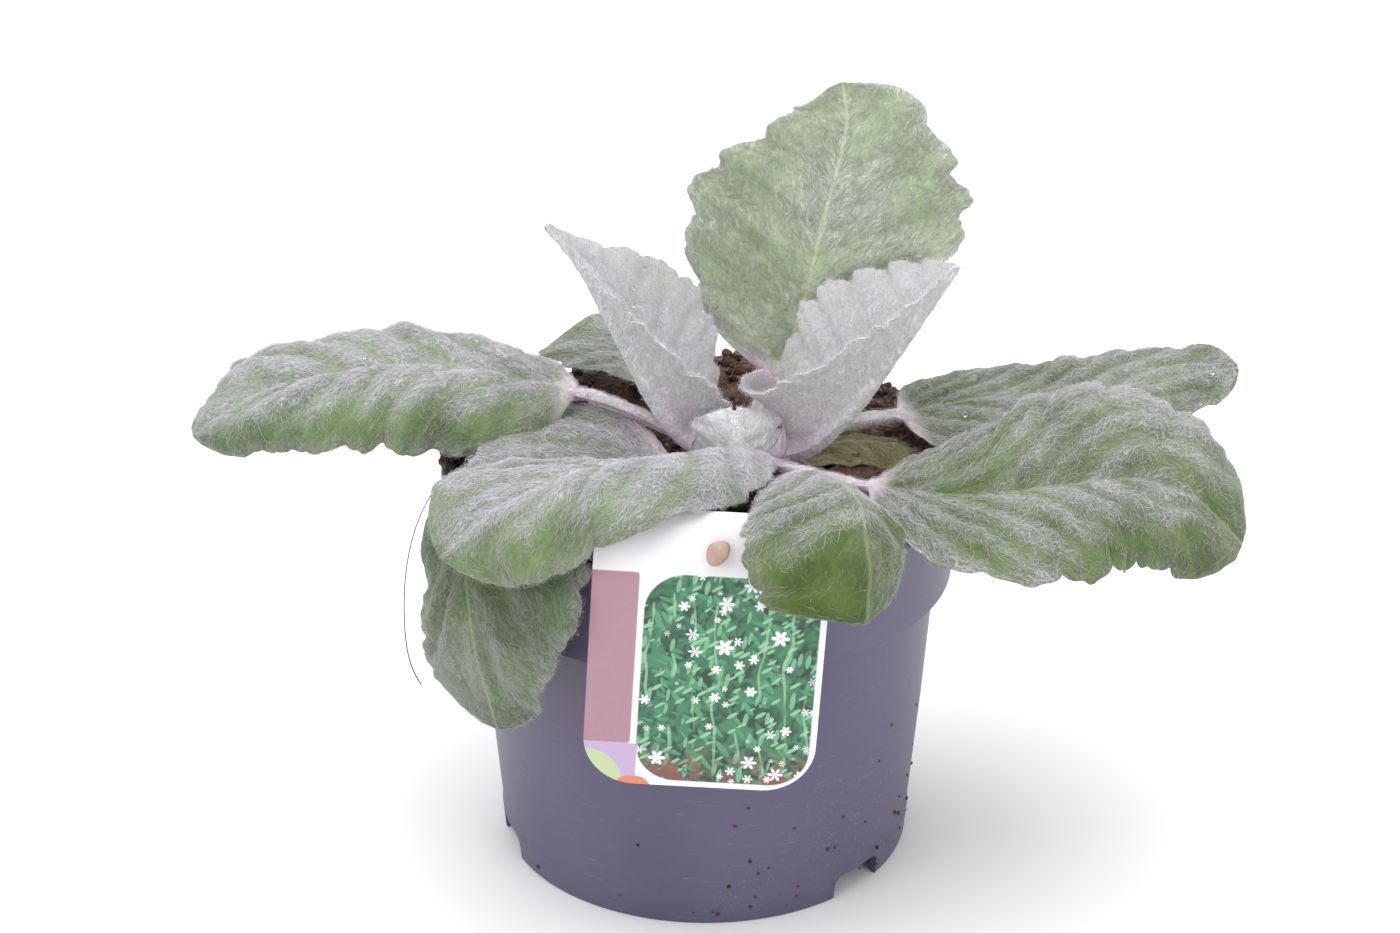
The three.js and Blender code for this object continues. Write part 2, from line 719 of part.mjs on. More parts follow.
// Peg: a tapered round pin with a drop-shaped head.
function pegSolid(grow = 0) {
  const profile = [
    [0, -grow],
    [0.8 + grow, -grow],
    [PEG_RADIUS + grow, 5],
    [PEG_RADIUS + grow, PEG_LENGTH - 2],
  ];
  if (grow > 0) {
    profile.push([PEG_RADIUS + grow, PEG_LENGTH + 6], [0, PEG_LENGTH + 6]);
  } else {
    profile.push([3.6, PEG_LENGTH - 0.6], [4.2, PEG_LENGTH + 0.6], [3.4, PEG_LENGTH + 2], [0, PEG_LENGTH + 2.6]);
  }
  const slope = rad(PEG_SLOPE);
  return toSolid(turned(profile, 16)
    .translate(0, 0, -PEG_LENGTH)
    .rotateX(Math.PI / 2 - slope)
    .translate(PEG_X, pegSeat(), PEG_HEIGHT)
    .translate(0, -PEG_STAND_OFF * Math.cos(slope), PEG_STAND_OFF * Math.sin(slope)));
}

function pegSeat() {
  const angle = (PEG_HEIGHT - TAG_BEND_START) / TAG_BEND_RADIUS;
  return TAG_PLANE + TAG_BEND_RADIUS * (1 - Math.cos(angle));
}

// Leaves in order from the heart outwards, each kept clear of the crown, of the parts
// already placed and of the leaves inside it.
function placedLeaves(obstacles) {
  const taken = [...obstacles];
  return LEAVES.map((leaf) => {
    const whole = leafSolid(leaf);
    const inTheWay = taken.filter((other) => whole.intersect(other).volume() > 1e-6);
    const cut = inTheWay.reduce((rest, other) => rest.subtract(other), whole);
    taken.push(leafRoom(leaf));
    return { leaf, solid: inTheWay.length > 0 ? largestShell(cut) : whole };
  });
}

function buildPlant() {
  const group = new THREE.Group();
  group.name = 'potted_silver_sage';
  const pot = potSolid();
  const peg = pegSolid();
  const pegRoom = pegSolid(GAP);
  const tag = tagSolid().subtract(pegRoom);
  const crown = crownSolid();
  const crownRoom = crownSolid(GAP);
  const leaves = placedLeaves([crownRoom]);
  let soil = soilSolid().subtract(crownRoom).subtract(pegRoom);
  for (const { leaf } of leaves) {
    const room = leafRoom(leaf);
    if (soil.intersect(room).volume() > 1e-6) {
      soil = largestShell(soil.subtract(room));
    }
  }
  group.add(meshOf('pot', 'pot_plastic', pot));
  group.add(meshOf('soil', 'soil_peat', soil));
  group.add(meshOf('crown_and_taproot', 'crown_wool', crown));
  for (const { leaf, solid } of leaves) {
    group.add(meshOf(leaf.name, leaf.slot, solid));
  }
  group.add(meshOf('tag', 'tag_plastic', tag));
  group.add(meshOf('tag_peg', 'peg_tan', peg));
  return group;
}

export default buildPlant();
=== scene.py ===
# %% [markdown]
# # Potted silver sage
# A woolly garden perennial in its nursery pot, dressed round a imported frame. The frame
# gives every piece its place, in metres, and holds plain solids under the same names.
# Here each of them gets its finer form, its hairs and its finish. The lesson goes from
# the studio to the pot, the soil, the crown, the leaves, their wool and the label.

# %% Load the frame
import math

import bpy
import numpy as np
from mathutils import Matrix, Vector


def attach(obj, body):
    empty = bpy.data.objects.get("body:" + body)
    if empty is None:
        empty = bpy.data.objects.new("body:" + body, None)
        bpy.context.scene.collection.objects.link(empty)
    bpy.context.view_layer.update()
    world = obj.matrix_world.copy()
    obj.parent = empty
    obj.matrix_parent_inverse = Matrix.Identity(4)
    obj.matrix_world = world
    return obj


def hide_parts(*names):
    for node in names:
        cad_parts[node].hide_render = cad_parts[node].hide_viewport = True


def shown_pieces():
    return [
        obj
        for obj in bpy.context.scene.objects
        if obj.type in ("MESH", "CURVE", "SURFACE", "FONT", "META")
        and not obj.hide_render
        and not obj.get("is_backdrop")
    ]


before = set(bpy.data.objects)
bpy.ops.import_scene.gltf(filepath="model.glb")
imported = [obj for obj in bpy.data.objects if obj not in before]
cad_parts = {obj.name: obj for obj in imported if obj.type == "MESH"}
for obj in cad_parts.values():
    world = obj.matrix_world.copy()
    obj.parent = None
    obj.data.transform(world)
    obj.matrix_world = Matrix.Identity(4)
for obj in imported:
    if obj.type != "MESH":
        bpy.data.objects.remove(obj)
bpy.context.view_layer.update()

MM = 0.001
BODY = "root"
print("nodes in the frame:", len(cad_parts))

# %% [markdown]
# ## Camera
# The plant was photographed from in front and above with a long lens, which keeps the
# pot's sides nearly straight. A camera on the -Y side looks down by 25.6 degrees at a
# point just under the rim. Its matrix is built from a tilt and a very small roll.

# %% Camera
CAMERA_TARGET = Vector((-0.002, 0.0, 0.1377))
CAMERA_DISTANCE = 1.0838
CAMERA_DOWN = math.radians(25.629)
CAMERA_ROLL = math.radians(0.082)
CAMERA_LENS, CAMERA_SENSOR, CAMERA_REACH = 81.83, 36, 20

looking = Vector((0, math.cos(CAMERA_DOWN), -math.sin(CAMERA_DOWN)))
bpy.ops.object.camera_add()
camera = bpy.context.object
camera.name = "photo_camera"
camera.data.lens = CAMERA_LENS
camera.data.sensor_width = CAMERA_SENSOR
camera.data.clip_end = CAMERA_REACH
camera.matrix_world = (
    Matrix.Translation(CAMERA_TARGET - looking * CAMERA_DISTANCE)
    @ Matrix.Rotation(math.pi / 2 - CAMERA_DOWN, 4, "X")
    @ Matrix.Rotation(CAMERA_ROLL, 4, "Z")
)
bpy.context.scene.camera = camera
print("camera stands", round(camera.matrix_world.translation.z, 3), "m above the floor")

# %% [markdown]
# ## Picking up and putting down
# An operator works on everything that is selected, so each step starts by putting all
# pieces down and picking up one. A modifier is added, set and applied at once, as one
# would do by hand, and a finished piece keeps its place in its own mesh.

# %% Handling pieces
def put_all_down():
    if bpy.context.object and bpy.context.object.mode != "OBJECT":
        bpy.ops.object.mode_set(mode="OBJECT")
    bpy.ops.object.select_all(action="DESELECT")


def pick_up(*pieces):
    put_all_down()
    for piece in pieces:
        piece.select_set(True)
    bpy.context.view_layer.objects.active = pieces[-1]


def throw_away(*pieces):
    pick_up(*pieces)
    bpy.ops.object.delete()


def newly_added(name):
    piece = bpy.context.object
    piece.name = name
    piece.data.name = name
    return piece


def settle(piece):
    pick_up(piece)
    bpy.ops.object.transform_apply(location=True, rotation=True, scale=True)


def apply_modifier(piece, kind, **settings):
    pick_up(piece)
    bpy.ops.object.modifier_add(type=kind)
    modifier = piece.modifiers[-1]
    for name, value in settings.items():
        setattr(modifier, name, value)
    bpy.ops.object.modifier_apply(modifier=modifier.name)


def places_of(piece):
    places = np.empty(len(piece.data.vertices) * 3)
    piece.data.vertices.foreach_get("co", places)
    return places.reshape(-1, 3)


def move_to(piece, places):
    piece.data.vertices.foreach_set("co", np.asarray(places, dtype=float).ravel())
    piece.data.update()


def close_and_turn_out(piece, weld=1e-6):
    pick_up(piece)
    bpy.ops.object.mode_set(mode="EDIT")
    bpy.ops.mesh.select_all(action="SELECT")
    bpy.ops.mesh.remove_doubles(threshold=weld)
    bpy.ops.mesh.normals_make_consistent(inside=False)
    bpy.ops.object.mode_set(mode="OBJECT")


def smooth(piece, sharp_from=35):
    pick_up(piece)
    bpy.ops.object.shade_smooth_by_angle(angle=math.radians(sharp_from))


def triangles_in(piece):
    piece.data.calc_loop_triangles()
    return len(piece.data.loop_triangles)


def finish_piece(piece, finish, slot, *stands_for):
    piece.data.materials.clear()
    piece.data.materials.append(finish)
    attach(piece, BODY)
    if stands_for:
        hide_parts(*stands_for)
    print(piece.name, "has", triangles_in(piece), "triangles")


# %% [markdown]
# ## Mixing finishes
# Every finish is mixed from procedural nodes on the plain shader. A few short helpers
# add a node, feed it values or other nodes, and give its outlet back, so a finish reads
# like a recipe: grain, spots, a ramp between two tints, then the bump.

# %% Helpers for finishes
def tint(code):
    values = [int(code[k:k + 2], 16) / 255 for k in (0, 2, 4)]
    linear = [v / 12.92 if v <= 0.04045 else ((v + 0.055) / 1.055) ** 2.4 for v in values]
    return (*linear, 1.0)


def new_finish(name):
    finish = bpy.data.materials.new(name)
    finish.use_nodes = True
    return finish


def node(finish, kind, inputs=(), outlet=0, **settings):
    made = finish.node_tree.nodes.new("ShaderNode" + kind)
    for name, value in settings.items():
        setattr(made, name, value)
    for name, value in dict(inputs).items():
        feed(finish, made.inputs[name], value)
    return made.outputs[outlet]


def axis_of(finish, vector, axis):
    return node(finish, "SeparateXYZ", {"Vector": vector}, outlet=axis)


def feed(finish, socket, value):
    if isinstance(value, bpy.types.NodeSocket):
        finish.node_tree.links.new(value, socket)
    else:
        socket.default_value = value


def set_shader(finish, **values):
    shader = finish.node_tree.nodes["Principled BSDF"]
    for name, value in values.items():
        feed(finish, shader.inputs[name.replace("_", " ")], value)


def here(finish, scale=(1, 1, 1), turn=(0, 0, 0)):
    place = node(finish, "TexCoord", outlet="Object")
    return node(finish, "Mapping", {"Vector": place, "Scale": scale, "Rotation": turn})


def noise(finish, place, scale, detail=2.0, rough=0.5, warp=0.0):
    return node(finish, "TexNoise", {
        "Vector": place, "Scale": scale, "Detail": detail, "Roughness": rough, "Distortion": warp,
    })


def cells(finish, place, scale, outlet="Distance", feature="F1", jitter=1.0):
    return node(finish, "TexVoronoi", {
        "Vector": place, "Scale": scale, "Randomness": jitter,
    }, outlet=outlet, feature=feature)


def between(finish, value, low, high, out_low=0.0, out_high=1.0):
    return node(finish, "MapRange", {
        "Value": value, "From Min": low, "From Max": high, "To Min": out_low, "To Max": out_high,
    }, interpolation_type="SMOOTHSTEP")


def sums(finish, kind, first, second=0.5):
    return node(finish, "Math", {0: first, 1: second}, operation=kind)


def times(finish, first, second):
    return sums(finish, "MULTIPLY", first, second)


def blend(finish, share, first, second):
    mixer = finish.node_tree.nodes.new("ShaderNodeMix")
    mixer.data_type = "RGBA"
    feed(finish, mixer.inputs[0], share)
    feed(finish, mixer.inputs[6], first)
    feed(finish, mixer.inputs[7], second)
    return mixer.outputs[2]


def raised(finish, height, strength, distance, onto=None):
    inputs = {"Height": height, "Strength": strength, "Distance": distance}
    if onto is not None:
        inputs["Normal"] = onto
    return node(finish, "Bump", inputs)


# %% [markdown]
# ## Studio
# The plant stands on a plain pale floor in even, soft light. A white surround gives most
# of the light, a wide lamp overhead makes the tops of the leaves paler than their hanging
# sides, and two weaker lamps open up the front of the pot.

# %% Studio floor and light
FLOOR_SIZE, SURROUND_STRENGTH = 14, 0.78


def studio_lamp(name, place, aim, width, power):
    bpy.ops.object.light_add(type="AREA", location=place)
    lamp = newly_added(name)
    lamp.data.shape = "DISK"
    lamp.data.size = width
    lamp.data.energy = power
    lamp.rotation_euler = (Vector(aim) - Vector(place)).to_track_quat("-Z", "Y").to_euler()


put_all_down()
bpy.ops.mesh.primitive_plane_add(size=FLOOR_SIZE, location=(0, 0, 0))
floor = newly_added("studio_floor")
floor_finish = new_finish("pale_studio_floor")
floor_grain = noise(floor_finish, here(floor_finish), 3.0)
set_shader(
    floor_finish,
    Base_Color=blend(floor_finish, floor_grain, tint("f7f7f8"), tint("fbfbfc")),
    Roughness=0.8,
)
floor.data.materials.append(floor_finish)
floor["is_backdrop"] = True

studio_lamp("overhead_lamp", (-0.15, 0.2, 1.9), (0, 0, 0.15), width=2.6, power=36)
studio_lamp("left_lamp", (-1.3, -1.2, 1.0), (0, 0, 0.12), width=1.0, power=7.6)
studio_lamp("right_lamp", (1.2, -1.4, 0.8), (0, 0, 0.10), width=1.0, power=6.5)

air = bpy.data.worlds.new("studio_air")
bpy.context.scene.world = air
air.use_nodes = True
surround = air.node_tree.nodes["Background"].inputs
surround["Color"].default_value = (1.0, 1.0, 1.0, 1.0)
surround["Strength"].default_value = SURROUND_STRENGTH
bpy.context.scene.view_settings.view_transform = "Standard"

# %% [markdown]
# ## Turned pieces
# The pot, the crown and the peg are round. Each is turned as on a lathe: a ring of
# points is added, moved into the outline of the wall, and spun about the upright axis.

# %% Turning an outline
def turned_piece(name, outline, steps, centre=(0, 0)):
    put_all_down()
    bpy.ops.mesh.primitive_circle_add(
        vertices=len(outline), radius=0.01, rotation=(math.pi / 2, 0, 0),
    )
    piece = newly_added(name)
    settle(piece)
    move_to(piece, [(radius * MM, 0, height * MM) for radius, height in outline])
    bpy.ops.object.mode_set(mode="EDIT")
    bpy.ops.mesh.select_all(action="SELECT")
    bpy.ops.mesh.spin(steps=steps, angle=2 * math.pi, center=(0, 0, 0), axis=(0, 0, 1))
    bpy.ops.mesh.select_all(action="SELECT")
    bpy.ops.transform.translate(value=(centre[0] * MM, centre[1] * MM, 0))
    bpy.ops.object.mode_set(mode="OBJECT")
    close_and_turn_out(piece)
    return piece


# %% [markdown]
# ## Pot
# A nursery pot is blown or injection moulded in one thin wall: a slim foot, a slightly
# flared body, a ledge, a taller collar and a rolled lip. The outline is spun, and three
# arched notches at the foot and the drain holes in the raised ring are cut out of it.

# %% Pot body
POT_HEIGHT = 140.0
LIP_RADIUS = 90.0
FOOT_RADIUS = 71.4
LEDGE_HEIGHT = 102.8
COLLAR_RADIUS = 84.5
BODY_RADIUS = 79.1
WALL = 1.6
CHANNEL_RADIUS = 51.0
CHANNEL_TOP = 11.0

pot_outline = [
    (0, 0), (CHANNEL_RADIUS + 1, 0), (CHANNEL_RADIUS + 2, CHANNEL_TOP - 2),
    (FOOT_RADIUS - WALL - 1, CHANNEL_TOP - 2), (FOOT_RADIUS - WALL - 0.6, 0),
    (FOOT_RADIUS - 0.5, 0), (FOOT_RADIUS, 0.6), (FOOT_RADIUS + 0.9, CHANNEL_TOP - 0.6),
    (FOOT_RADIUS + 0.75, CHANNEL_TOP), (FOOT_RADIUS + 0.6, CHANNEL_TOP + 0.7),
    (FOOT_RADIUS + 4.3, 55), (BODY_RADIUS, LEDGE_HEIGHT - 0.9),
    (BODY_RADIUS + 0.4, LEDGE_HEIGHT - 0.3),
    (COLLAR_RADIUS - 0.5, LEDGE_HEIGHT), (COLLAR_RADIUS, LEDGE_HEIGHT + 0.5),
    (COLLAR_RADIUS + 0.2, LEDGE_HEIGHT + 3), (COLLAR_RADIUS + 2.8, POT_HEIGHT - 4.4),
    (COLLAR_RADIUS + 3.1, POT_HEIGHT - 3.9), (LIP_RADIUS - 0.7, POT_HEIGHT - 3.5),
    (LIP_RADIUS - 0.15, POT_HEIGHT - 2.9), (LIP_RADIUS, POT_HEIGHT - 2),
    (LIP_RADIUS - 0.1, POT_HEIGHT - 1), (LIP_RADIUS - 0.5, POT_HEIGHT - 0.3),
    (LIP_RADIUS - 1.3, POT_HEIGHT), (LIP_RADIUS - 3, POT_HEIGHT),
    (LIP_RADIUS - 3.9, POT_HEIGHT - 0.4), (LIP_RADIUS - 4.4, POT_HEIGHT - 1.4),
    (COLLAR_RADIUS - WALL, LEDGE_HEIGHT + 1.9), (BODY_RADIUS - WALL, LEDGE_HEIGHT + 1.5),
    (FOOT_RADIUS - WALL + 0.9, CHANNEL_TOP), (CHANNEL_RADIUS, CHANNEL_TOP),
    (CHANNEL_RADIUS - 1, 2), (0, 2),
]
pot = turned_piece("pot_moulded", pot_outline, steps=144)
print("pot:", len(pot.data.vertices), "vertices")

# %% Notches and drain holes
NOTCH_ANGLES = (-43, -163, 77)
NOTCH_WIDTH, NOTCH_HEIGHT, NOTCH_REACH, NOTCH_CORNER = 22.0, 9.0, 16.0, 4.0
DRAIN_RING, DRAIN_RADIUS, DRAIN_DEPTH, DRAIN_COUNT = 61.0, 4.0, 6.0, 8


def arched_cutter(angle):
    put_all_down()
    bpy.ops.mesh.primitive_cube_add(size=1, location=((FOOT_RADIUS - 1) * MM, 0, 0))
    cutter = newly_added("notch_cutter")
    cutter.scale = (NOTCH_REACH * MM, NOTCH_WIDTH * MM, 2 * NOTCH_HEIGHT * MM)
    settle(cutter)
    apply_modifier(cutter, "BEVEL", width=NOTCH_CORNER * MM, segments=6)
    cutter.rotation_euler = (0, 0, math.radians(angle))
    settle(cutter)
    return cutter


def drain_cutter(index):
    angle = 2 * math.pi * (index + 0.5) / DRAIN_COUNT
    spot = (DRAIN_RING * math.cos(angle), DRAIN_RING * math.sin(angle), CHANNEL_TOP - 1)
    put_all_down()
    bpy.ops.mesh.primitive_cylinder_add(
        vertices=24, radius=DRAIN_RADIUS * MM, depth=DRAIN_DEPTH * MM,
        location=[value * MM for value in spot],
    )
    return newly_added("drain_cutter")


cutters = [arched_cutter(a) for a in NOTCH_ANGLES] + [drain_cutter(k) for k in range(DRAIN_COUNT)]
for cutter in cutters:
    apply_modifier(pot, "BOOLEAN", operation="DIFFERENCE", object=cutter, solver="EXACT")
throw_away(*cutters)
smooth(pot, 40)
print("pot with its openings:", triangles_in(pot), "triangles")

# %% [markdown]
# ### Pot plastic
# The plastic is a dull blue-grey with a faint violet cast. Broad cloudy streaks from the
# moulding, fine scratches round the wall, dried soil low down and dusty specks make it
# look used. The soil marks grow denser towards the foot, where wet crumbs stuck to it.

# %% Pot plastic
SPECKS_PER_M, GRAINS_PER_M = 900, 900
pot_finish = new_finish("pot_matte_plastic")
around = here(pot_finish)
height = axis_of(pot_finish, around, "Z")
clouds = noise(pot_finish, here(pot_finish, (1, 1, 0.35)), 16, detail=3)
rings = noise(pot_finish, here(pot_finish, (1, 1, 14)), 22)
pot_tint = blend(pot_finish, between(pot_finish, clouds, 0.3, 0.7), tint("4a4460"), tint("564f6a"))
scratched = noise(pot_finish, here(pot_finish, (3, 3, 60)), 30, warp=0.6)
scratches = between(pot_finish, scratched, 0.66, 0.74)
pot_tint = blend(pot_finish, times(pot_finish, scratches, 0.25), pot_tint, tint("8b8a9c"))
low_down = between(pot_finish, height, 0.075, 0.004)
speck_pick = cells(pot_finish, around, SPECKS_PER_M, outlet="Color")
speck = between(pot_finish, cells(pot_finish, around, SPECKS_PER_M), 0.26, 0.18)
chosen = between(pot_finish, node(pot_finish, "SeparateColor", {"Color": speck_pick}), 0.84, 0.9)
soil_patch = between(pot_finish, noise(pot_finish, around, 38, detail=4), 0.50, 0.66)
foot_patches = times(pot_finish, low_down, soil_patch)
soil_mark = times(pot_finish, times(pot_finish, speck, chosen), foot_patches)
pot_tint = blend(pot_finish, soil_mark, pot_tint, tint("5b463d"))
dusty = between(pot_finish, noise(pot_finish, around, 12), 0.5, 0.7)
dust = times(pot_finish, between(pot_finish, cells(pot_finish, around, 650), 0.2, 0.1), dusty)
pot_tint = blend(pot_finish, times(pot_finish, dust, 0.35), pot_tint, tint("a9a6b2"))
bumpy = raised(pot_finish, noise(pot_finish, around, GRAINS_PER_M), 0.25, 0.0004)
bumpy = raised(pot_finish, rings, 0.12, 0.0006, onto=bumpy)
set_shader(
    pot_finish,
    Base_Color=pot_tint,
    Roughness=between(pot_finish, clouds, 0.2, 0.8, 0.36, 0.5),
    Specular_IOR_Level=0.65,
    Normal=raised(pot_finish, soil_mark, 0.6, 0.0006, onto=bumpy),
)
finish_piece(pot, pot_finish, "pot_plastic", "pot")

# %% [markdown]
# ## Soil
# Peat compost is dark, crumbly and full of fibres. Its body is turned to fill the pot,
# and its top is lifted by the same gentle lumps as the frame's soil with finer ones on
# top. Loose crumbs, chips of bark and straw-coloured fibres are then strewn over it.

# %% Soil body
SOIL_LEVEL, SOIL_LUMP, SOIL_REACH = 136.5, 1.2, 84.2
BANK_HEIGHT, BANK_FROM, BANK_WIDTH = 3.4, 64, 18


def soil_height(x, y):
    lumps = (
        np.sin(x * 0.13 + 1.1) * np.cos(y * 0.11 - 0.4)
        + 0.6 * np.sin(x * 0.29 - y * 0.23)
        + 0.4 * np.cos(x * 0.41 + y * 0.37 + 2)
    )
    outward = ((np.hypot(x, y) - BANK_FROM) / BANK_WIDTH).clip(0, 1)
    far_side = (0.4 + np.sin(np.arctan2(y, x) + 0.35)).clip(0, 1)
    bank = BANK_HEIGHT * far_side * outward ** 2 * (3 - 2 * outward)
    return SOIL_LEVEL + SOIL_LUMP * lumps + bank


soil_outline = [
    (0, 2.3), (CHANNEL_RADIUS - 1.3, 2.3), (CHANNEL_RADIUS - 0.3, CHANNEL_TOP + 0.3),
    (FOOT_RADIUS - 1.0, CHANNEL_TOP + 0.3), (BODY_RADIUS - 1.9, LEDGE_HEIGHT + 1.8),
    (COLLAR_RADIUS - 1.9, LEDGE_HEIGHT + 2.2), (SOIL_REACH, SOIL_LEVEL - 3),
    *[(radius, SOIL_LEVEL) for radius in np.arange(82, 0, -2)], (0, SOIL_LEVEL),
]
soil = turned_piece("soil_peat_body", soil_outline, steps=120)
places = places_of(soil)
top = places[:, 2] > (SOIL_LEVEL - 0.1) * MM
places[top, 2] = soil_height(places[top, 0] / MM, places[top, 1] / MM) * MM
move_to(soil, places)
soil.vertex_groups.new(name="top").add(np.flatnonzero(top).tolist(), 1.0, "REPLACE")
for label, size, strength in (("soil_lumps", 9, 2.4), ("soil_grains", 2.4, 1.5)):
    lumpy = bpy.data.textures.new(label, "CLOUDS")
    lumpy.noise_scale = size * MM
    lumpy.noise_depth = 3
    apply_modifier(soil, "DISPLACE", texture=lumpy, strength=strength * MM, mid_level=0.5,
                   direction="Z", vertex_group="top")
smooth(soil, 60)
print("soil:", triangles_in(soil), "triangles")

# %% Peat finish
def peat_finish(name, dark, brown, pale):
    finish = new_finish(name)
    place = here(finish)
    patches = noise(finish, place, 90, detail=5, rough=0.65)
    crumbs = cells(finish, place, 480)
    flecks = between(finish, noise(finish, place, 700, detail=3), 0.62, 0.75)
    mixed = blend(finish, between(finish, patches, 0.35, 0.68), tint(dark), tint(brown))
    mixed = blend(finish, flecks, mixed, tint(pale))
    bumps = raised(finish, crumbs, 0.8, 0.0012)
    set_shader(finish, Base_Color=mixed, Roughness=0.95,
               Normal=raised(finish, patches, 0.7, 0.0015, onto=bumps))
    return finish


soil_finish = peat_finish("peat_compost", "2c201c", "6b4f44", "a08471")
bark_finish = peat_finish("bark_and_fibre", "553b2e", "8f6b50", "c3a581")
finish_piece(soil, soil_finish, "soil_peat", "soil")

# %% [markdown]
# ### Crumbs, bark and fibres
# One crumb, one chip and one fibre are modelled, and seeded copies of them are laid on
# the soil at every size and turn. A few crumbs cling to the outside of the pot, near its
# foot. More are heaped against the rim, at the left and along the far side, so the soil
# there stands as high as the pot.

# %% Copies of a model as one piece
def arrays_of(piece):
    piece.data.calc_loop_triangles()
    faces = np.empty(len(piece.data.loop_triangles) * 3, dtype=int)
    piece.data.loop_triangles.foreach_get("vertices", faces)
    return places_of(piece).copy(), faces.reshape(-1, 3)


def piece_from(name, places, faces):
    mesh = bpy.data.meshes.new(name)
    mesh.vertices.add(len(places))
    mesh.vertices.foreach_set("co", np.asarray(places, dtype=np.float32).ravel())
    mesh.loops.add(faces.size)
    mesh.loops.foreach_set("vertex_index", faces.astype(np.int32).ravel())
    mesh.polygons.add(len(faces))
    mesh.polygons.foreach_set("loop_start", np.arange(0, faces.size, 3, dtype=np.int32))
    mesh.update(calc_edges=True)
    piece = bpy.data.objects.new(name, mesh)
    bpy.context.collection.objects.link(piece)
    return piece


def strewn(name, model, spots, sizes, turns):
    """Copies of a small model, each turned by its own matrix and set on its spot."""
    shape, faces = model
    copies = np.einsum("nij,vj->nvi", turns, shape) * np.asarray(sizes)[:, None, None]
    places = copies + np.asarray(spots)[:, None, :]
    shift = np.arange(len(spots))[:, None, None] * len(shape)
    return piece_from(name, places.reshape(-1, 3), (faces[None] + shift).reshape(-1, 3))


def random_turns(chance, count, tilt=math.pi):
    lean = chance.uniform(-tilt, tilt, count)
    spin = chance.uniform(0, 2 * math.pi, count)
    roll = chance.uniform(0, 2 * math.pi, count)
    turned = Matrix.Rotation
    return np.array([
        np.array(turned(s, 3, "Z") @ turned(t, 3, "X") @ turned(r, 3, "Z"))
        for t, s, r in zip(lean, spin, roll)
    ])


# %% Models of a crumb, a chip and a fibre
put_all_down()
bpy.ops.mesh.primitive_ico_sphere_add(subdivisions=2, radius=1)
crumb = newly_added("crumb_model")
rugged = bpy.data.textures.new("crumb_lumps", "CLOUDS")
rugged.noise_scale = 0.7
apply_modifier(crumb, "DISPLACE", texture=rugged, strength=0.9, mid_level=0.45)
crumb_model = arrays_of(crumb)

put_all_down()
bpy.ops.mesh.primitive_cube_add(size=1)
chip = newly_added("chip_model")
bpy.ops.object.mode_set(mode="EDIT")
bpy.ops.mesh.subdivide(number_cuts=2)
bpy.ops.transform.resize(value=(2.6, 0.9, 0.45))
bpy.ops.mesh.vertices_smooth(factor=0.6)
bpy.ops.object.mode_set(mode="OBJECT")
apply_modifier(chip, "DISPLACE", texture=rugged, strength=0.5, mid_level=0.5)
chip_model = arrays_of(chip)

put_all_down()
bpy.ops.mesh.primitive_cylinder_add(vertices=4, radius=0.03, depth=2)
fibre = newly_added("fibre_model")
bpy.ops.object.mode_set(mode="EDIT")
bpy.ops.mesh.subdivide(number_cuts=1)
bpy.ops.object.mode_set(mode="OBJECT")
apply_modifier(fibre, "SIMPLE_DEFORM", deform_method="BEND", deform_axis="X",
               angle=math.radians(70))
fibre_model = arrays_of(fibre)
throw_away(crumb, chip, fibre)
soil_models = (crumb_model, chip_model, fibre_model)
print("crumb, chip and fibre:", [len(faces) for _, faces in soil_models], "triangles")

# %% Strew them over the soil
CRUMBS, CHIPS, FIBRES = 270, 100, 150
chance = np.random.default_rng(11)
upright_to_flat = np.array(Matrix.Rotation(math.pi / 2, 3, "X"))


def soil_spots(count, lift, reach=80):
    radius = reach * np.sqrt(chance.uniform(0, 1, count))
    angle = chance.uniform(0, 2 * math.pi, count)
    x, y = radius * np.cos(angle), radius * np.sin(angle)
    return np.stack([x, y, soil_height(x, y) + lift], axis=1)


def lay(name, model, finish, spots, smallest, largest, tilt=math.pi, first_turn=np.eye(3)):
    """Copies of a model between two sizes, as one finished piece of the soil."""
    sizes = chance.uniform(smallest, largest, len(spots))
    turns = random_turns(chance, len(spots), tilt) @ first_turn
    finish_piece(strewn(name, model, spots * MM, sizes * MM, turns), finish, "soil_peat")


lay("soil_crumbs", crumb_model, soil_finish, soil_spots(CRUMBS, 0.3), 0.7, 2.4)
lay("bark_chips", chip_model, bark_finish, soil_spots(CHIPS, 0.8), 1.2, 3.4, tilt=0.5)
lay("peat_fibres", fibre_model, bark_finish, soil_spots(FIBRES, 1.6), 3, 9, 0.35, upright_to_flat)

# %% Crumbs that cling to the pot
CLINGING, CLING_ANGLE, CLING_SPREAD = 60, math.radians(-45), 0.75
CLING_FROM, CLING_HEIGHT = 4, 60


def wall_radius(height):
    rise = (BODY_RADIUS - FOOT_RADIUS - 0.6) / (LEDGE_HEIGHT - CHANNEL_TOP)
    return FOOT_RADIUS + 0.6 + rise * (height - CHANNEL_TOP)


def on_circles(radii, angles, heights):
    return np.stack([radii * np.cos(angles), radii * np.sin(angles), heights], axis=1)


heights = CLING_FROM + CLING_HEIGHT * chance.uniform(0, 1, CLINGING) ** 2.2
angles = chance.normal(CLING_ANGLE, CLING_SPREAD, CLINGING)
clinging = on_circles(wall_radius(heights) + 0.1, angles, heights)
print("crumbs on the pot:", CLINGING, "the highest at", round(heights.max()), "mm")

# %% Heaps at the rim
LEFT_HEAP, FAR_HEAP, SIDE_HEAP, FAR_CHIPS, RIM_FIBRES = 60, 190, 50, 40, 60


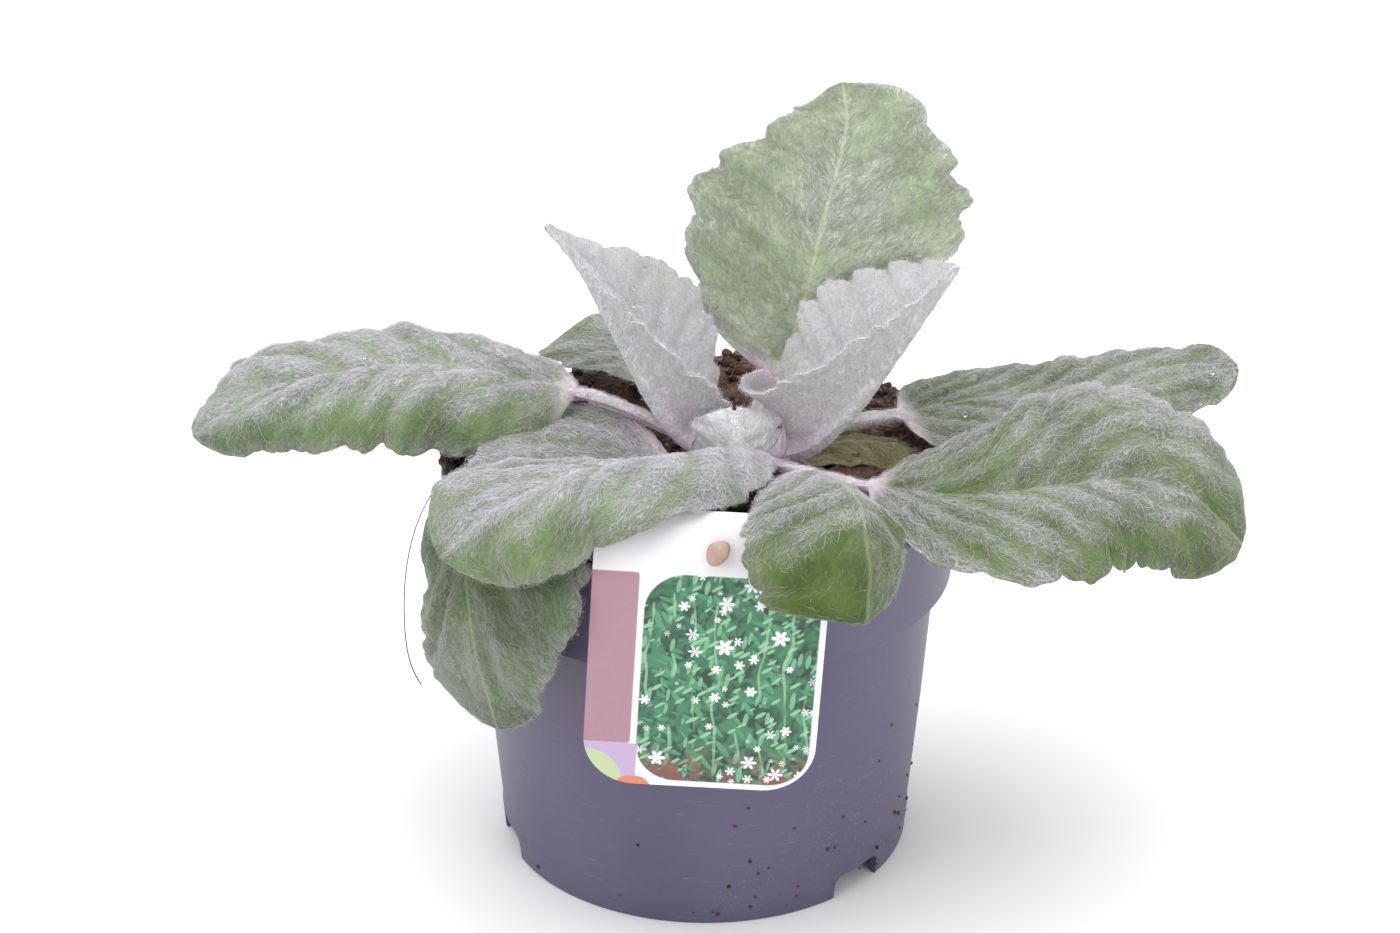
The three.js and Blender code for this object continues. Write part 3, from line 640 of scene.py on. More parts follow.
def heap(angles, near, far, low, high):
    """Spots in a bank against the rim, higher towards the wall of the pot."""
    outward = chance.uniform(0, 1, len(angles))
    heights = low + (high - low) * outward * chance.uniform(0.6, 1.1, len(angles))
    return on_circles(near + (far - near) * outward, np.radians(angles), heights)


heaped = np.concatenate([
    heap(chance.normal(181, 5, LEFT_HEAP), near=80, far=88.5, low=138, high=143.2),
    heap(chance.uniform(30, 104, FAR_HEAP), near=77, far=88.5, low=138.8, high=141.6),
    heap(chance.uniform(104, 165, SIDE_HEAP), near=76, far=85, low=138, high=141.5),
])
spots = np.concatenate([clinging, heaped])
small = chance.uniform(0.25, 0.8, CLINGING)
large = 0.9 + 1.5 * chance.uniform(0, 1, len(heaped)) ** 2
sizes = np.concatenate([small, large])
turns = random_turns(chance, len(spots))
stuck = strewn("clinging_crumbs", crumb_model, spots * MM, sizes * MM, turns)
finish_piece(stuck, soil_finish, "soil_peat")
chip_bank = heap(chance.uniform(30, 160, FAR_CHIPS), near=73, far=86, low=138, high=141.8)
lay("rim_chips", chip_model, bark_finish, chip_bank, 1.0, 2.6, tilt=0.8)
fibre_bank = heap(chance.uniform(20, 160, RIM_FIBRES), near=72, far=86, low=138.5, high=142.6)
lay("rim_fibres", fibre_model, bark_finish, fibre_bank, 3, 7, 0.6, upright_to_flat)

# %% [markdown]
# ## Crown
# The leaves rise from one short woolly crown on a taproot. Most of it is out of sight in
# the soil; only the white knob shows. It is turned like the pot and roughened a little.

# %% Crown and taproot
CROWN_X, CROWN_Y = 11.0, 4.0
crown_outline = [
    (0, 60), (2, 62), (4.5, 80), (7, 105), (9, 122),
    (12, 136), (12, 140), (9.5, 144.5), (5, 146.6), (0, 147),
]
crown = turned_piece("crown_knob", crown_outline, steps=40, centre=(CROWN_X, CROWN_Y))
apply_modifier(crown, "SUBSURF", levels=1, render_levels=1)
woolly = bpy.data.textures.new("crown_lumps", "CLOUDS")
woolly.noise_scale = 5 * MM
apply_modifier(crown, "DISPLACE", texture=woolly, strength=0.8 * MM, mid_level=0.6)
smooth(crown, 60)

crown_finish = new_finish("crown_white_wool")
place = here(crown_finish)
felt = noise(crown_finish, here(crown_finish, (1, 1, 0.25)), 700, detail=3, warp=0.8)
blush = between(crown_finish, noise(crown_finish, place, 60), 0.4, 0.65)
crown_tint = blend(crown_finish, blush, tint("d9d4dc"), tint("c9b3c6"))
crown_tint = blend(crown_finish, between(crown_finish, felt, 0.4, 0.6), crown_tint, tint("e6e4ea"))
set_shader(crown_finish, Base_Color=crown_tint, Roughness=0.9, Sheen_Weight=0.4,
           Normal=raised(crown_finish, felt, 0.6, 0.0008))
finish_piece(crown, crown_finish, "crown_wool", "crown_and_taproot")

# %% [markdown]
# ## Leaves
# Every leaf is one sheet: a petiole that widens into a blade with a midrib, arched side
# veins and a scalloped margin. It starts as a plain grid. Each point of the grid is laid
# along the leaf's own midrib, then out to the margin on a curve that folds and curls.
# The lists below say, for each leaf, where the midrib runs, how wide each half is, at
# which slope it leaves the midrib and how far it curls. They are in millimetres and
# degrees, as in the frame, with the left half before the right half.

# %% The twelve leaves
LEAVES = [
    {
        "name": "leaf_heart",
        "slot": "leaf_young_wool",
        "spine": [
            [11, -5, 141], [11, -11.5, 143], [10.5, -15, 150],
            [10, -15.5, 158], [9.5, -14, 165],
        ],
        "petiole": 0.04,
        "width": [[15, 19, 19, 18, 13], [13, 17, 18, 18, 13]],
        "caps": [0.06, 0.22],
        "fold": [[10, 8], [10, 8]],
        "curl": [[62, 45], [62, 45]],
        "sweep": [[0, 0.1, 0.1], [0, 0.1, 0.1]],
        "side": [1, 0, 0],
        "lobes": 4,
        "lobe_depth": 0.1,
        "ruffle": 0.7,
        "relief": 0.4,
    },
    {
        "name": "leaf_inner_right",
        "slot": "leaf_young_wool",
        "spine": [
            [17, 5, 143], [32, 2, 143], [49, 2, 158],
            [64, 4, 179], [75, 6, 195], [84, 8, 208],
        ],
        "petiole": 0.1,
        "width": [[16, 32, 40, 40, 32, 21, 8], [36, 40, 36, 30, 23, 15, 7]],
        "caps": [0.05, 0.1],
        "fold": [[60, 50, 20], [88, 58, 42]],
        "curl": [[-10, -20, -20], [-10, -20, -30]],
        "sweep": [[0, 0.25, 0.35, 0.3, 0.1], [-0.6, -0.3, 0.3, 0.3, 0.1]],
        "lobes": 7,
        "lobe_depth": 0.14,
        "ruffle": 0.5,
        "relief": 0.5,
    },
    {
        "name": "leaf_inner_left",
        "slot": "leaf_young_wool",
        "spine": [
            [6, 5, 144], [-5, 4, 146], [-17, 6, 160],
            [-30, 8, 185], [-42, 8, 208], [-53, 6, 223],
        ],
        "petiole": 0.1,
        "width": [[24, 28, 24, 20, 15, 9, 5], [16, 32, 39, 35, 22, 11, 5]],
        "caps": [0.1, 0.1],
        "fold": [[78, 52, 40], [60, 45, 30]],
        "curl": [[-10, -30, -60], [-10, -20, -60]],
        "sweep": [[-0.8, 0, 0.35, 0.3, 0.1], [0, 0.25, 0.35, 0.3, 0.1]],
        "lobes": 7,
        "lobe_depth": 0.14,
        "ruffle": 0.5,
        "relief": 0.5,
    },
    {
        "name": "leaf_back",
        "slot": "leaf_wool",
        "spine": [
            [13, 12, 140], [24, 25, 162], [32, 34, 178],
            [41, 48, 211], [48, 59, 238], [47, 66, 252],
        ],
        "petiole": 0.2,
        "width": [[16, 42, 49, 44, 31, 21, 14], [8, 26, 44, 50, 44, 31, 17]],
        "caps": [0.1, 0.16],
        "fold": [[14, 6], [14, 6]],
        "curl": [[-20, -10], [-14, -6]],
        "sweep": [[-0.2, 0.25, 0.35, 0.3, 0.1], [-0.2, 0.25, 0.35, 0.3, 0.1]],
        "side": [-1, 0.15, 0],
        "lobes": 6,
        "lobe_depth": 0.13,
    },
    {
        "name": "leaf_front_left",
        "slot": "leaf_wool",
        "spine": [
            [9, -4, 144], [10, -14, 151], [-5, -34, 158], [-21, -54, 165],
            [-42, -63, 165], [-57, -69, 161], [-71, -74, 155], [-84, -79, 143],
        ],
        "petiole": 0.08,
        "width": [[12, 28, 37, 41, 39, 33, 20], [6, 10, 14, 23, 34, 37, 26]],
        "caps": [0.08, 0.12],
        "fold": [[22, 32, 30, 10], [-30, -10, 5]],
        "curl": [[-30, -70, -95, -60], [-20, -20]],
        "sweep": [[-0.4, 0, 0.2, 0.2, 0], [0, 0.2, 0.2, 0.1, 0]],
        "lobes": 7,
        "lobe_depth": 0.08,
    },
    {
        "name": "leaf_front_right",
        "slot": "leaf_wool",
        "spine": [
            [15, -5, 142], [31, -30, 152], [42, -58, 160], [48, -80, 163],
            [50, -92, 155], [51, -96, 145], [50, -97, 130],
        ],
        "petiole": 0.3,
        "width": [[8, 14, 18, 20, 24, 23, 18], [14, 25, 35, 39, 41, 38, 30]],
        "caps": [0.1, 0.06],
        "fold": [[-30, -25], [0, 0]],
        "curl": [[-30, -20], [-6, -6]],
        "sweep": [[0, 0], [0, 0.2, 0.2, 0.1, -0.1]],
        "lobes": 5,
        "lobe_depth": 0.08,
    },
    {
        "name": "leaf_right_front",
        "slot": "leaf_wool",
        "spine": [
            [19, -1, 141], [44, -24, 145], [62, -32, 145], [88, -38, 145],
            [118, -40, 150], [138, -42, 153], [158, -46, 149], [175, -50, 134],
        ],
        "petiole": 0.26,
        "width": [[4, 28, 46, 51, 47, 36, 22], [10, 32, 44, 40, 35, 31, 20]],
        "caps": [0.08, 0.12],
        "fold": [[50, 50, 30], [8, 0, -5, -5]],
        "curl": [[-60, -60, -50], [0, -40, -65, -50]],
        "sweep": [[0, 0.2, 0.2, 0.1, 0], [-0.4, 0, 0.15, 0, 0.3]],
        "lobes": 7,
        "lobe_depth": 0.1,
    },
    {
        "name": "leaf_right_back",
        "slot": "leaf_wool",
        "spine": [
            [19, 9, 141], [50, 24, 144], [70, 28, 145], [93, 34, 147],
            [120, 38, 147], [154, 42, 150], [186, 42, 156],
        ],
        "petiole": 0.3,
        "width": [[14, 20, 23, 26, 27, 24, 22], [27, 39, 34, 29, 25, 19, 14]],
        "caps": [0.08, 0.1],
        "fold": [[5, 5], [3, 0, -5]],
        "curl": [[10, -10], [0, -20, -30]],
        "sweep": [[-0.2, 0.2, 0.2, 0.1, 0], [-0.4, 0.1, 0.2, 0.1, 0]],
        "lobes": 7,
        "lobe_depth": 0.1,
    },
    {
        "name": "leaf_left",
        "slot": "leaf_wool",
        "spine": [
            [3, 5, 142], [-22, 12, 153], [-39, 18, 157], [-60, 20, 160], [-80, 20, 164],
            [-105, 18, 167], [-123, 14, 166], [-148, 6, 163], [-173, -2, 150],
        ],
        "petiole": 0.28,
        "width": [[18, 38, 43, 41, 35, 28, 18], [14, 28, 36, 38, 38, 38, 28]],
        "caps": [0.1, 0.14],
        "fold": [[18, 20], [30, 25]],
        "curl": [[-92, -95], [-60, -60]],
        "sweep": [[-0.2, 0.2, 0.3, 0.3, 0.1], [-0.4, 0.2, 0.3, 0.3, 0.1]],
        "lobes": 7,
        "lobe_depth": 0.12,
    },
    {
        "name": "leaf_front_left_hanging",
        "slot": "leaf_wool",
        "spine": [
            [3, -3, 141], [-14, -8, 143], [-40, -17, 145], [-61, -32, 146],
            [-76, -53, 144.5], [-77, -66, 132], [-75, -74, 111], [-68, -76, 79],
        ],
        "petiole": 0.09,
        "width": [[16, 30, 35, 48, 45, 28, 16], [26, 40, 23, 15, 22, 37, 44]],
        "caps": [0.08, 0.1],
        "fold": [[0, 4, -5], [24, 18, 0]],
        "curl": [[-5, -20], [-20, -30]],
        "sweep": [[-0.2, 0.25, 0.35, 0.3, 0.1], [-0.2, 0.25, 0.35, 0.3, 0.1]],
        "lobes": 8,
        "lobe_depth": 0.08,
    },
    {
        "name": "leaf_back_left",
        "slot": "leaf_wool",
        "spine": [[7, 12, 141], [-6, 30, 149], [-18, 48, 154], [-29, 62, 158], [-41, 74, 162]],
        "petiole": 0.46,
        "width": [[6, 14, 22, 28, 30, 28, 20], [8, 18, 25, 28, 25, 20, 14]],
        "caps": [0.1, 0.3],
        "fold": [[0, 0], [10, 0]],
        "curl": [[-20, -20], [-20, -20]],
        "sweep": [[-0.2, 0.25, 0.35, 0.3, 0.1], [-0.2, 0.25, 0.35, 0.3, 0.1]],
        "lobes": 4,
        "lobe_depth": 0.1,
        "relief": 0.4,
    },
    {
        "name": "leaf_low_right",
        "slot": "leaf_old",
        "spine": [[21, 3, 139], [46, 12, 141], [60, 14, 140], [76, 10, 138]],
        "petiole": 0.15,
        "width": [[6, 8, 9, 9, 6], [10, 14, 16, 15, 10]],
        "caps": [0.1, 0.15],
        "fold": [[10, 0], [10, 0]],
        "curl": [[-30, -30], [-30, -30]],
        "sweep": [[0, 0.2, 0.1], [0, 0.2, 0.1]],
        "lobes": 5,
        "lobe_depth": 0.05,
    },
]
print("leaves:", [leaf["name"] for leaf in LEAVES])

# %% [markdown]
# ### Along the midrib
# The midrib is a smooth curve through a few points. Walking along it by its true length
# gives at each step a place, the way ahead, the way to the left margin and the way up.

# %% Smooth curves
MIDRIB_STEPS = 1601


def along(values, share):
    """A smooth curve through evenly spaced values, read at shares from 0 to 1."""
    values = np.asarray(values, dtype=float)
    last = len(values) - 1
    x = np.clip(share, 0, 1) * last
    i = np.clip(np.floor(x).astype(int), 0, last - 1)
    w = x - i
    first, final = 2 * values[:1] - values[1:2], 2 * values[-1:] - values[-2:-1]
    padded = np.concatenate([first, values, final])
    before, start, end, after = (padded[i + k] for k in range(4))
    if values.ndim > 1:
        w = w[..., None]
    leave, arrive = 0.5 * (end - before), 0.5 * (after - start)
    rise = start - end
    cubic, square = 2 * rise + leave + arrive, -3 * rise - 2 * leave - arrive
    return cubic * w ** 3 + square * w ** 2 + leave * w + start


def unit(vectors):
    return vectors / np.maximum(np.linalg.norm(vectors, axis=-1, keepdims=True), 1e-12)


def midrib(leaf, share):
    """Place, way ahead, way left and way up at shares of the midrib's length."""
    line = along(leaf["spine"], np.linspace(0, 1, MIDRIB_STEPS))
    steps = np.linalg.norm(np.diff(line, axis=0), axis=1)
    length = np.concatenate([[0], np.cumsum(steps)])
    ways = unit(np.gradient(line, axis=0))
    at = share * length[-1]
    place = np.stack([np.interp(at, length, line[:, k]) for k in range(3)], axis=-1)
    ahead = unit(np.stack([np.interp(at, length, ways[:, k]) for k in range(3)], axis=-1))
    chord = np.subtract(leaf["spine"][-1], leaf["spine"][0])
    level = unit(np.array(leaf.get("side", (-chord[1], chord[0], 0)), dtype=float))
    left = unit(level - (ahead @ level)[:, None] * ahead)
    return place, ahead, left, np.cross(ahead, left), length[-1]


print("midribs in mm:", [round(midrib(leaf, np.zeros(1))[4]) for leaf in LEAVES])

# %% [markdown]
# ### Out to the margin
# The half width follows the lobes, with finer rounded teeth between them and a little
# unevenness, so no two lobes are alike. A petiole is the same sheet, left narrow.

# %% Width of a blade
PETIOLE_HALF_WIDTH, PETIOLE_TAPER = 3.2, 2.2
OPENING = 8
TEETH_PER_LOBE, TOOTH_DEPTH = 3, 0.03


def half_width(leaf, side, s, unevenness):
    caps = leaf["caps"]
    base = 1 - (1 - np.minimum(s / caps[0], 1)) ** 2
    tip = 1 - (1 - np.minimum((1 - s) / caps[1], 1)) ** 2
    ends = np.sqrt(np.maximum(base, 0) * np.maximum(tip, 0))
    lobes = np.abs(np.sin(math.pi * leaf["lobes"] * s)) ** 0.7
    teeth = np.abs(np.sin(math.pi * TEETH_PER_LOBE * leaf["lobes"] * s + unevenness[0])) ** 0.8
    notch = 1 - leaf["lobe_depth"] * (1 - lobes) * np.minimum(OPENING * s, 1)
    uneven = 0.02 * np.sin(14.5 * s + unevenness[1]) + 0.014 * np.sin(36 * s + unevenness[2])
    fine = 1 - TOOTH_DEPTH * (1 - teeth) + uneven * np.minimum(6 * s, 1)
    blade = np.where(s > 0, along(leaf["width"][side], s) * ends * notch * fine, 0)
    return np.maximum(blade, PETIOLE_HALF_WIDTH - PETIOLE_TAPER * s)


print("widest halves in mm:", [[max(half) for half in leaf["width"]] for leaf in LEAVES])

# %% [markdown]
# ### Surface of a blade
# Across, the sheet leaves the midrib at its fold and turns steadily by its curl. Between
# the side veins it bulges up, and over them it sinks. The margin waves a little, and the
# youngest leaves have frills that are much finer than their lobes.

# %% Folds, veins and frills
PETIOLE_FOLD = 0.3
FULL_RELIEF_WIDTH = 25
VEIN_RELIEF, VEIN_GROOVE, VEIN_SLANT = 1.0, 0.6, 0.2
LONG_SLANTS = {"leaf_right_front": 0.42, "leaf_right_back": 0.3, "leaf_front_left": 0.28}
MARGIN_WAVE = 0.5
FRILL_PITCH = 8
FRILLS = {
    "leaf_heart": (0.5, 0.5), "leaf_inner_right": (0.25, 1.0), "leaf_inner_left": (1.0, 0.25),
}


def vein_number(leaf, s, t):
    """Counts the side veins. Each leaves the midrib early and slants out to its own lobe."""
    slant = LONG_SLANTS.get(leaf["name"], VEIN_SLANT)
    slanted = s + slant * (1 - t) * np.minimum(4 * (1 - s), 1)
    return leaf["lobes"] * slanted + 0.16 * np.sin(11 * s + 3 * t)


def blade_half(leaf, side, s, t, width, unevenness):
    """Steps to the side, up and ahead of the midrib, in millimetres."""
    opening = np.minimum(OPENING * s, 1)
    relief = leaf.get("relief", 1)
    slope = np.radians(along(leaf["fold"][side], s)) * np.where(s > 0, 1, PETIOLE_FOLD)
    turn = np.radians(along(leaf["curl"][side], s))
    turn = np.where(np.abs(turn) < 1e-3, 1e-3, turn)
    across = width * (np.sin(slope + turn * t) - np.sin(slope)) / turn
    up = width * (np.cos(slope) - np.cos(slope + turn * t)) / turn
    ripple = 2 * math.pi * leaf["lobes"] * s
    phase = 2 * math.pi * vein_number(leaf, s, t)
    up += leaf.get("ruffle", 0) * t * t * np.sin(ripple + 1.3 * side) * opening
    bulge = np.sin(math.pi * t).clip(0, 1)
    size = np.minimum(width / FULL_RELIEF_WIDTH, 1) * opening
    strength = 0.75 + 0.35 * np.sin(0.37 * phase + unevenness[2] + side)
    up += VEIN_RELIEF * relief * strength * bulge ** 0.8 * np.cos(phase) * size
    from_vein = np.abs(vein_number(leaf, s, t) % 1 - 0.5)
    up -= VEIN_GROOVE * relief * np.exp(-(from_vein / 0.09) ** 2) * bulge ** 0.4 * size
    wave = np.sin(0.7 * ripple + unevenness[3]) + 0.6 * np.sin(1.9 * ripple + unevenness[4])
    up += MARGIN_WAVE * t ** 3 * wave * size
    frill = 2 * math.pi * s * leaf["length"] / FRILL_PITCH + unevenness[3 - side]
    frill += 1.8 * np.sin(0.31 * frill + unevenness[4])
    depth = 0.6 + 0.5 * np.sin(0.23 * frill + unevenness[1])
    up += FRILLS.get(leaf["name"], (0, 0))[side] * depth * t ** 5 * np.sin(frill) * opening
    ahead = across * along(leaf["sweep"][side], s) * opening
    return across, up, ahead


# %% [markdown]
# ### From grid to leaf
# The grid gets more rows for a longer leaf, and finer ones where it has frills. Cloud
# textures pucker the sheet, a Solidify modifier gives it its thickness, and the points
# under the midrib are pushed down into a rib. Distances across and along are kept as a
# UV map, so vein patterns follow the leaf.

# %% Laying the grid along a leaf
ROW_PITCH = 1.6
FINE_ROW_PITCH = 0.9
COLUMNS = 32
BLADE_THICKNESS = 0.9
MARGIN_FROM, MARGIN_THINNESS = 0.985, 0.45
RIB_DEPTH, RIB_HALF_WIDTH = 3.6, 3.4
PUCKER_SIZE, PUCKER_DEPTH = 6.5, 1.5
WRINKLE_SIZE, WRINKLE_DEPTH = 2.6, 0.6
pucker = bpy.data.textures.new("leaf_pucker", "CLOUDS")
pucker.noise_scale = PUCKER_SIZE * MM
wrinkle = bpy.data.textures.new("leaf_wrinkle", "CLOUDS")
wrinkle.noise_scale = WRINKLE_SIZE * MM


def leaf_sheet(leaf, chance):
    unevenness = chance.uniform(0, 2 * math.pi, 5)
    leaf["length"] = midrib(leaf, np.zeros(1))[4]
    pitch = FINE_ROW_PITCH if leaf["name"] in FRILLS else ROW_PITCH
    rows = round(leaf["length"] / pitch) + 10
    put_all_down()
    bpy.ops.mesh.primitive_grid_add(x_subdivisions=COLUMNS, y_subdivisions=rows, size=1)
    sheet = newly_added("blade_" + leaf["name"])
    grid = places_of(sheet)
    wide = len(np.unique(np.round(grid[:, 0], 5)))
    x, y = 2 * grid[:, 0], grid[:, 1] + 0.5
    petiole = leaf["petiole"]
    stalk = 0.7 * petiole
    on_blade = petiole + (y - stalk) / (1 - stalk) * (1 - petiole)
    share = np.where(y < stalk, y / stalk * petiole, on_blade)
    s = np.clip((share - petiole) / (1 - petiole), 0, 1)
    reach = np.abs(x)
    t = 0.5 * reach + 0.5 * reach ** 2
    place, ahead, left, up, length = midrib(leaf, share)
    spots = place.copy()
    width = np.zeros(len(x))
    for side, mine in ((0, x < 0), (1, x >= 0)):
        width[mine] = half_width(leaf, side, s[mine], unevenness)
        out, lift, on = blade_half(leaf, side, s[mine], t[mine], width[mine], unevenness)
        spots[mine] += (out if side == 0 else -out)[:, None] * left[mine]
        spots[mine] += lift[:, None] * up[mine] + on[:, None] * ahead[mine]
    move_to(sheet, spots * MM)
    marks = {
        "across": np.sign(x) * t * width * MM, "along": share * length * MM,
        "reach": t, "vein": vein_number(leaf, s, t), "blade": s, "share": share,
    }
    return sheet, marks, wide


# %% Thickness, rib and marks
def rib_depth(share, petiole, across):
    s = np.clip((share - petiole) / (1 - petiole), 0, 1)
    half = RIB_HALF_WIDTH - 1.2 * s
    return RIB_DEPTH * (1 - 0.8 * s) * np.sqrt(np.maximum(0, 1 - (across / MM / half) ** 2))


def thicken(sheet, leaf, marks):
    """Upper and lower skin of the finished leaf, as two halves of its points."""
    puckered, wrinkled = PUCKER_DEPTH * leaf.get("relief", 1) * MM, WRINKLE_DEPTH * MM
    apply_modifier(sheet, "DISPLACE", texture=pucker, strength=puckered, mid_level=0.5)
    apply_modifier(sheet, "DISPLACE", texture=wrinkle, strength=wrinkled, mid_level=0.5)
    middle = places_of(sheet).copy()
    count = len(middle)
    apply_modifier(sheet, "SOLIDIFY", thickness=BLADE_THICKNESS * MM, offset=0,
                   use_even_offset=False)
    skins = places_of(sheet)
    upper, lower = skins[:count].copy(), skins[count:2 * count].copy()
    down = unit(lower - upper)
    thin = np.where(marks["reach"] > MARGIN_FROM, MARGIN_THINNESS, 1.0)[:, None]
    upper, lower = middle + (upper - middle) * thin, middle + (lower - middle) * thin
    lower += down * (rib_depth(marks["share"], leaf["petiole"], marks["across"]) * MM)[:, None]
    move_to(sheet, np.concatenate([upper, lower]))
    return upper, lower


def write_mark(sheet, name, values):
    layer = sheet.data.attributes.new(name, "FLOAT", "POINT")
    layer.data.foreach_set("value", values.astype(np.float32))


def write_marks(sheet, marks, count):
    for name in ("reach", "vein", "blade"):
        write_mark(sheet, name, np.tile(marks[name], 2))
    write_mark(sheet, "upper", np.repeat([1.0, 0.0], count))
    corners = np.empty(len(sheet.data.loops), dtype=int)
    sheet.data.loops.foreach_get("vertex_index", corners)
    flat = np.tile(np.stack([marks["across"], marks["along"]], axis=1) * 10, (2, 1))
    sheet.data.uv_layers[0].name = "leaf_uv"
    sheet.data.uv_layers[0].data.foreach_set("uv", flat[corners].astype(np.float32).ravel())


# %% [markdown]
# ### Leaf finishes
# Under its wool the blade is green, with a paler net of small veins, a cream midrib and
# a lavender blush at the base. Fine hairs too small to model are painted as streaks in
# three directions, thicker on the margin and on the underside. Young leaves are nearly
# white with wool, and the old one near the soil is olive and thin of hair.
# Where the skin faces up the painted hair is paler, a painted top light, and elsewhere it is
# greyer, a painted shade.

# %% Leaf finish
def mark(finish, name):
    return node(finish, "Attribute", outlet="Fac", attribute_name=name)


def streaks(finish, flat, turn, low=0.50, high=0.62, fine=230):
    laid = node(finish, "Mapping", {"Vector": flat, "Rotation": (0, 0, math.radians(turn))})
    drawn = node(finish, "Mapping", {"Vector": laid, "Scale": (fine, fine / 11, 1)})
    return between(finish, noise(finish, drawn, 1.0, warp=1.4), low, high)


# thin tints the painted hair off the up-facing crests: finer hair, and greyer as painted shade.
# wool tints it on them, paler as painted top light.
def leaf_finish(name, deep, green, fresh, thin, wool, cover, under_cover,
                rib=0.25, sheen=0.8, young=0.0):
    finish = new_finish(name)
    place = here(finish)
    uv = node(finish, "UVMap", uv_map="leaf_uv")
    from_rib = sums(finish, "ABSOLUTE", axis_of(finish, uv, "X"))
    folded = node(finish, "CombineXYZ", {"X": from_rib, "Y": axis_of(finish, uv, "Y")})
    shaken = noise_colour(finish, place, 240)
    drift = node(finish, "VectorMath", {0: shaken, "Scale": 0.05}, operation="SCALE")
    flat = node(finish, "VectorMath", {0: folded, 1: drift}, operation="ADD")

    patches = noise(finish, place, 55, detail=4)
    skin = blend(finish, between(finish, patches, 0.35, 0.65), tint(deep), tint(green))
    net = cells(finish, flat, 26, feature="DISTANCE_TO_EDGE")
    net_line = between(finish, net, 0.07, 0.0)
    skin = blend(finish, times(finish, net_line, 0.3), skin, tint(fresh))
    count = sums(finish, "FRACT", mark(finish, "vein"))
    vein = sums(finish, "ABSOLUTE", sums(finish, "SUBTRACT", count, 0.5))
    on_blade = between(finish, mark(finish, "blade"), 0.02, 0.1)
    vein_line = times(finish, between(finish, vein, 0.085, 0.02), on_blade)
    skin = blend(finish, times(finish, vein_line, 0.22), skin, tint(fresh))
    rib_line = between(finish, from_rib, 0.010, 0.003)
    skin = blend(finish, times(finish, rib_line, rib), skin, tint("b4c08f"))
    edge = times(finish, between(finish, mark(finish, "reach"), 0.55, 1.0), young)
    stalk = between(finish, mark(finish, "blade"), 0.07, 0.0)
    skin = blend(finish, stalk, skin, tint("efe8e4"))

    crossing = streaks(finish, flat, 38)
    for turn, low in ((-8, 0.55), (80, 0.57)):
        drawn = streaks(finish, flat, turn, low=low, high=low + 0.13)
        crossing = sums(finish, "MAXIMUM", crossing, drawn)
    near_margin = between(finish, mark(finish, "reach"), 0.8, 1.0, 0.0, 0.25)
    covering = node(finish, "MapRange", {
        "Value": mark(finish, "upper"), "To Min": under_cover, "To Max": cover,
    })
    thick_patches = between(finish, noise(finish, place, 32, detail=3), 0.35, 0.7, -0.12, 0.16)
    # More painted hair where the skin faces up: partly the denser wool of the ridges, partly
    # painted top light.
    on_stalk, on_toplit_crest = times(finish, stalk, 0.3), times(finish, mark(finish, "crest_and_toplight"), 0.34)
    for hairier in (near_margin, thick_patches, on_stalk, on_toplit_crest):
        covering = sums(finish, "ADD", covering, hairier)
    covering = sums(finish, "SUBTRACT", covering, times(finish, edge, 0.45))
    felt = times(finish, covering, between(finish, crossing, 0.0, 1.0, 0.4, 1.4))
    felt = node(finish, "Clamp", {"Value": felt})
    low_down = between(finish, mark(finish, "blade"), 0.16 + 0.2 * young, 0.0)
    blush = times(finish, low_down, between(finish, noise(finish, place, 70), 0.35, 0.7))
    # Painted hair is paler where the skin faces up, a painted top light, and greyer elsewhere, a
    # painted shade.
    toplit_crest_share = between(finish, mark(finish, "crest_and_toplight"), 0.0, 0.8)
    hair_tint = blend(finish, toplit_crest_share, tint(thin), tint(wool))
    # Painted shade: the hair on the upper side of the young leaves is greyer than on their
    # underside.
    shaded_young_upper = times(finish, mark(finish, "upper"), young)
    hair_tint = blend(finish, shaded_young_upper, hair_tint, tint("c5bfcb"))
    hair_tint = blend(finish, blush, hair_tint, tint("d6c0da" if young else "ccb6cb"))
    coat = blend(finish, felt, skin, hair_tint)
    puffs = raised(finish, net, 0.5, 0.0012)
    set_shader(
        finish,
        Base_Color=coat,
        Roughness=0.88,
        Sheen_Weight=sheen,
        Sheen_Roughness=0.35,
        Sheen_Tint=tint("e9e4ef"),
        Specular_IOR_Level=0.15,
        Normal=raised(finish, crossing, 0.45, 0.0004, onto=puffs),
    )
    return finish


def noise_colour(finish, place, scale):
    settings = {"Vector": place, "Scale": scale, "Detail": 1.0}
    cloud = node(finish, "TexNoise", settings, outlet="Color")
    return node(finish, "VectorMath", {0: cloud, 1: (0.5, 0.5, 0.5)}, operation="SUBTRACT")


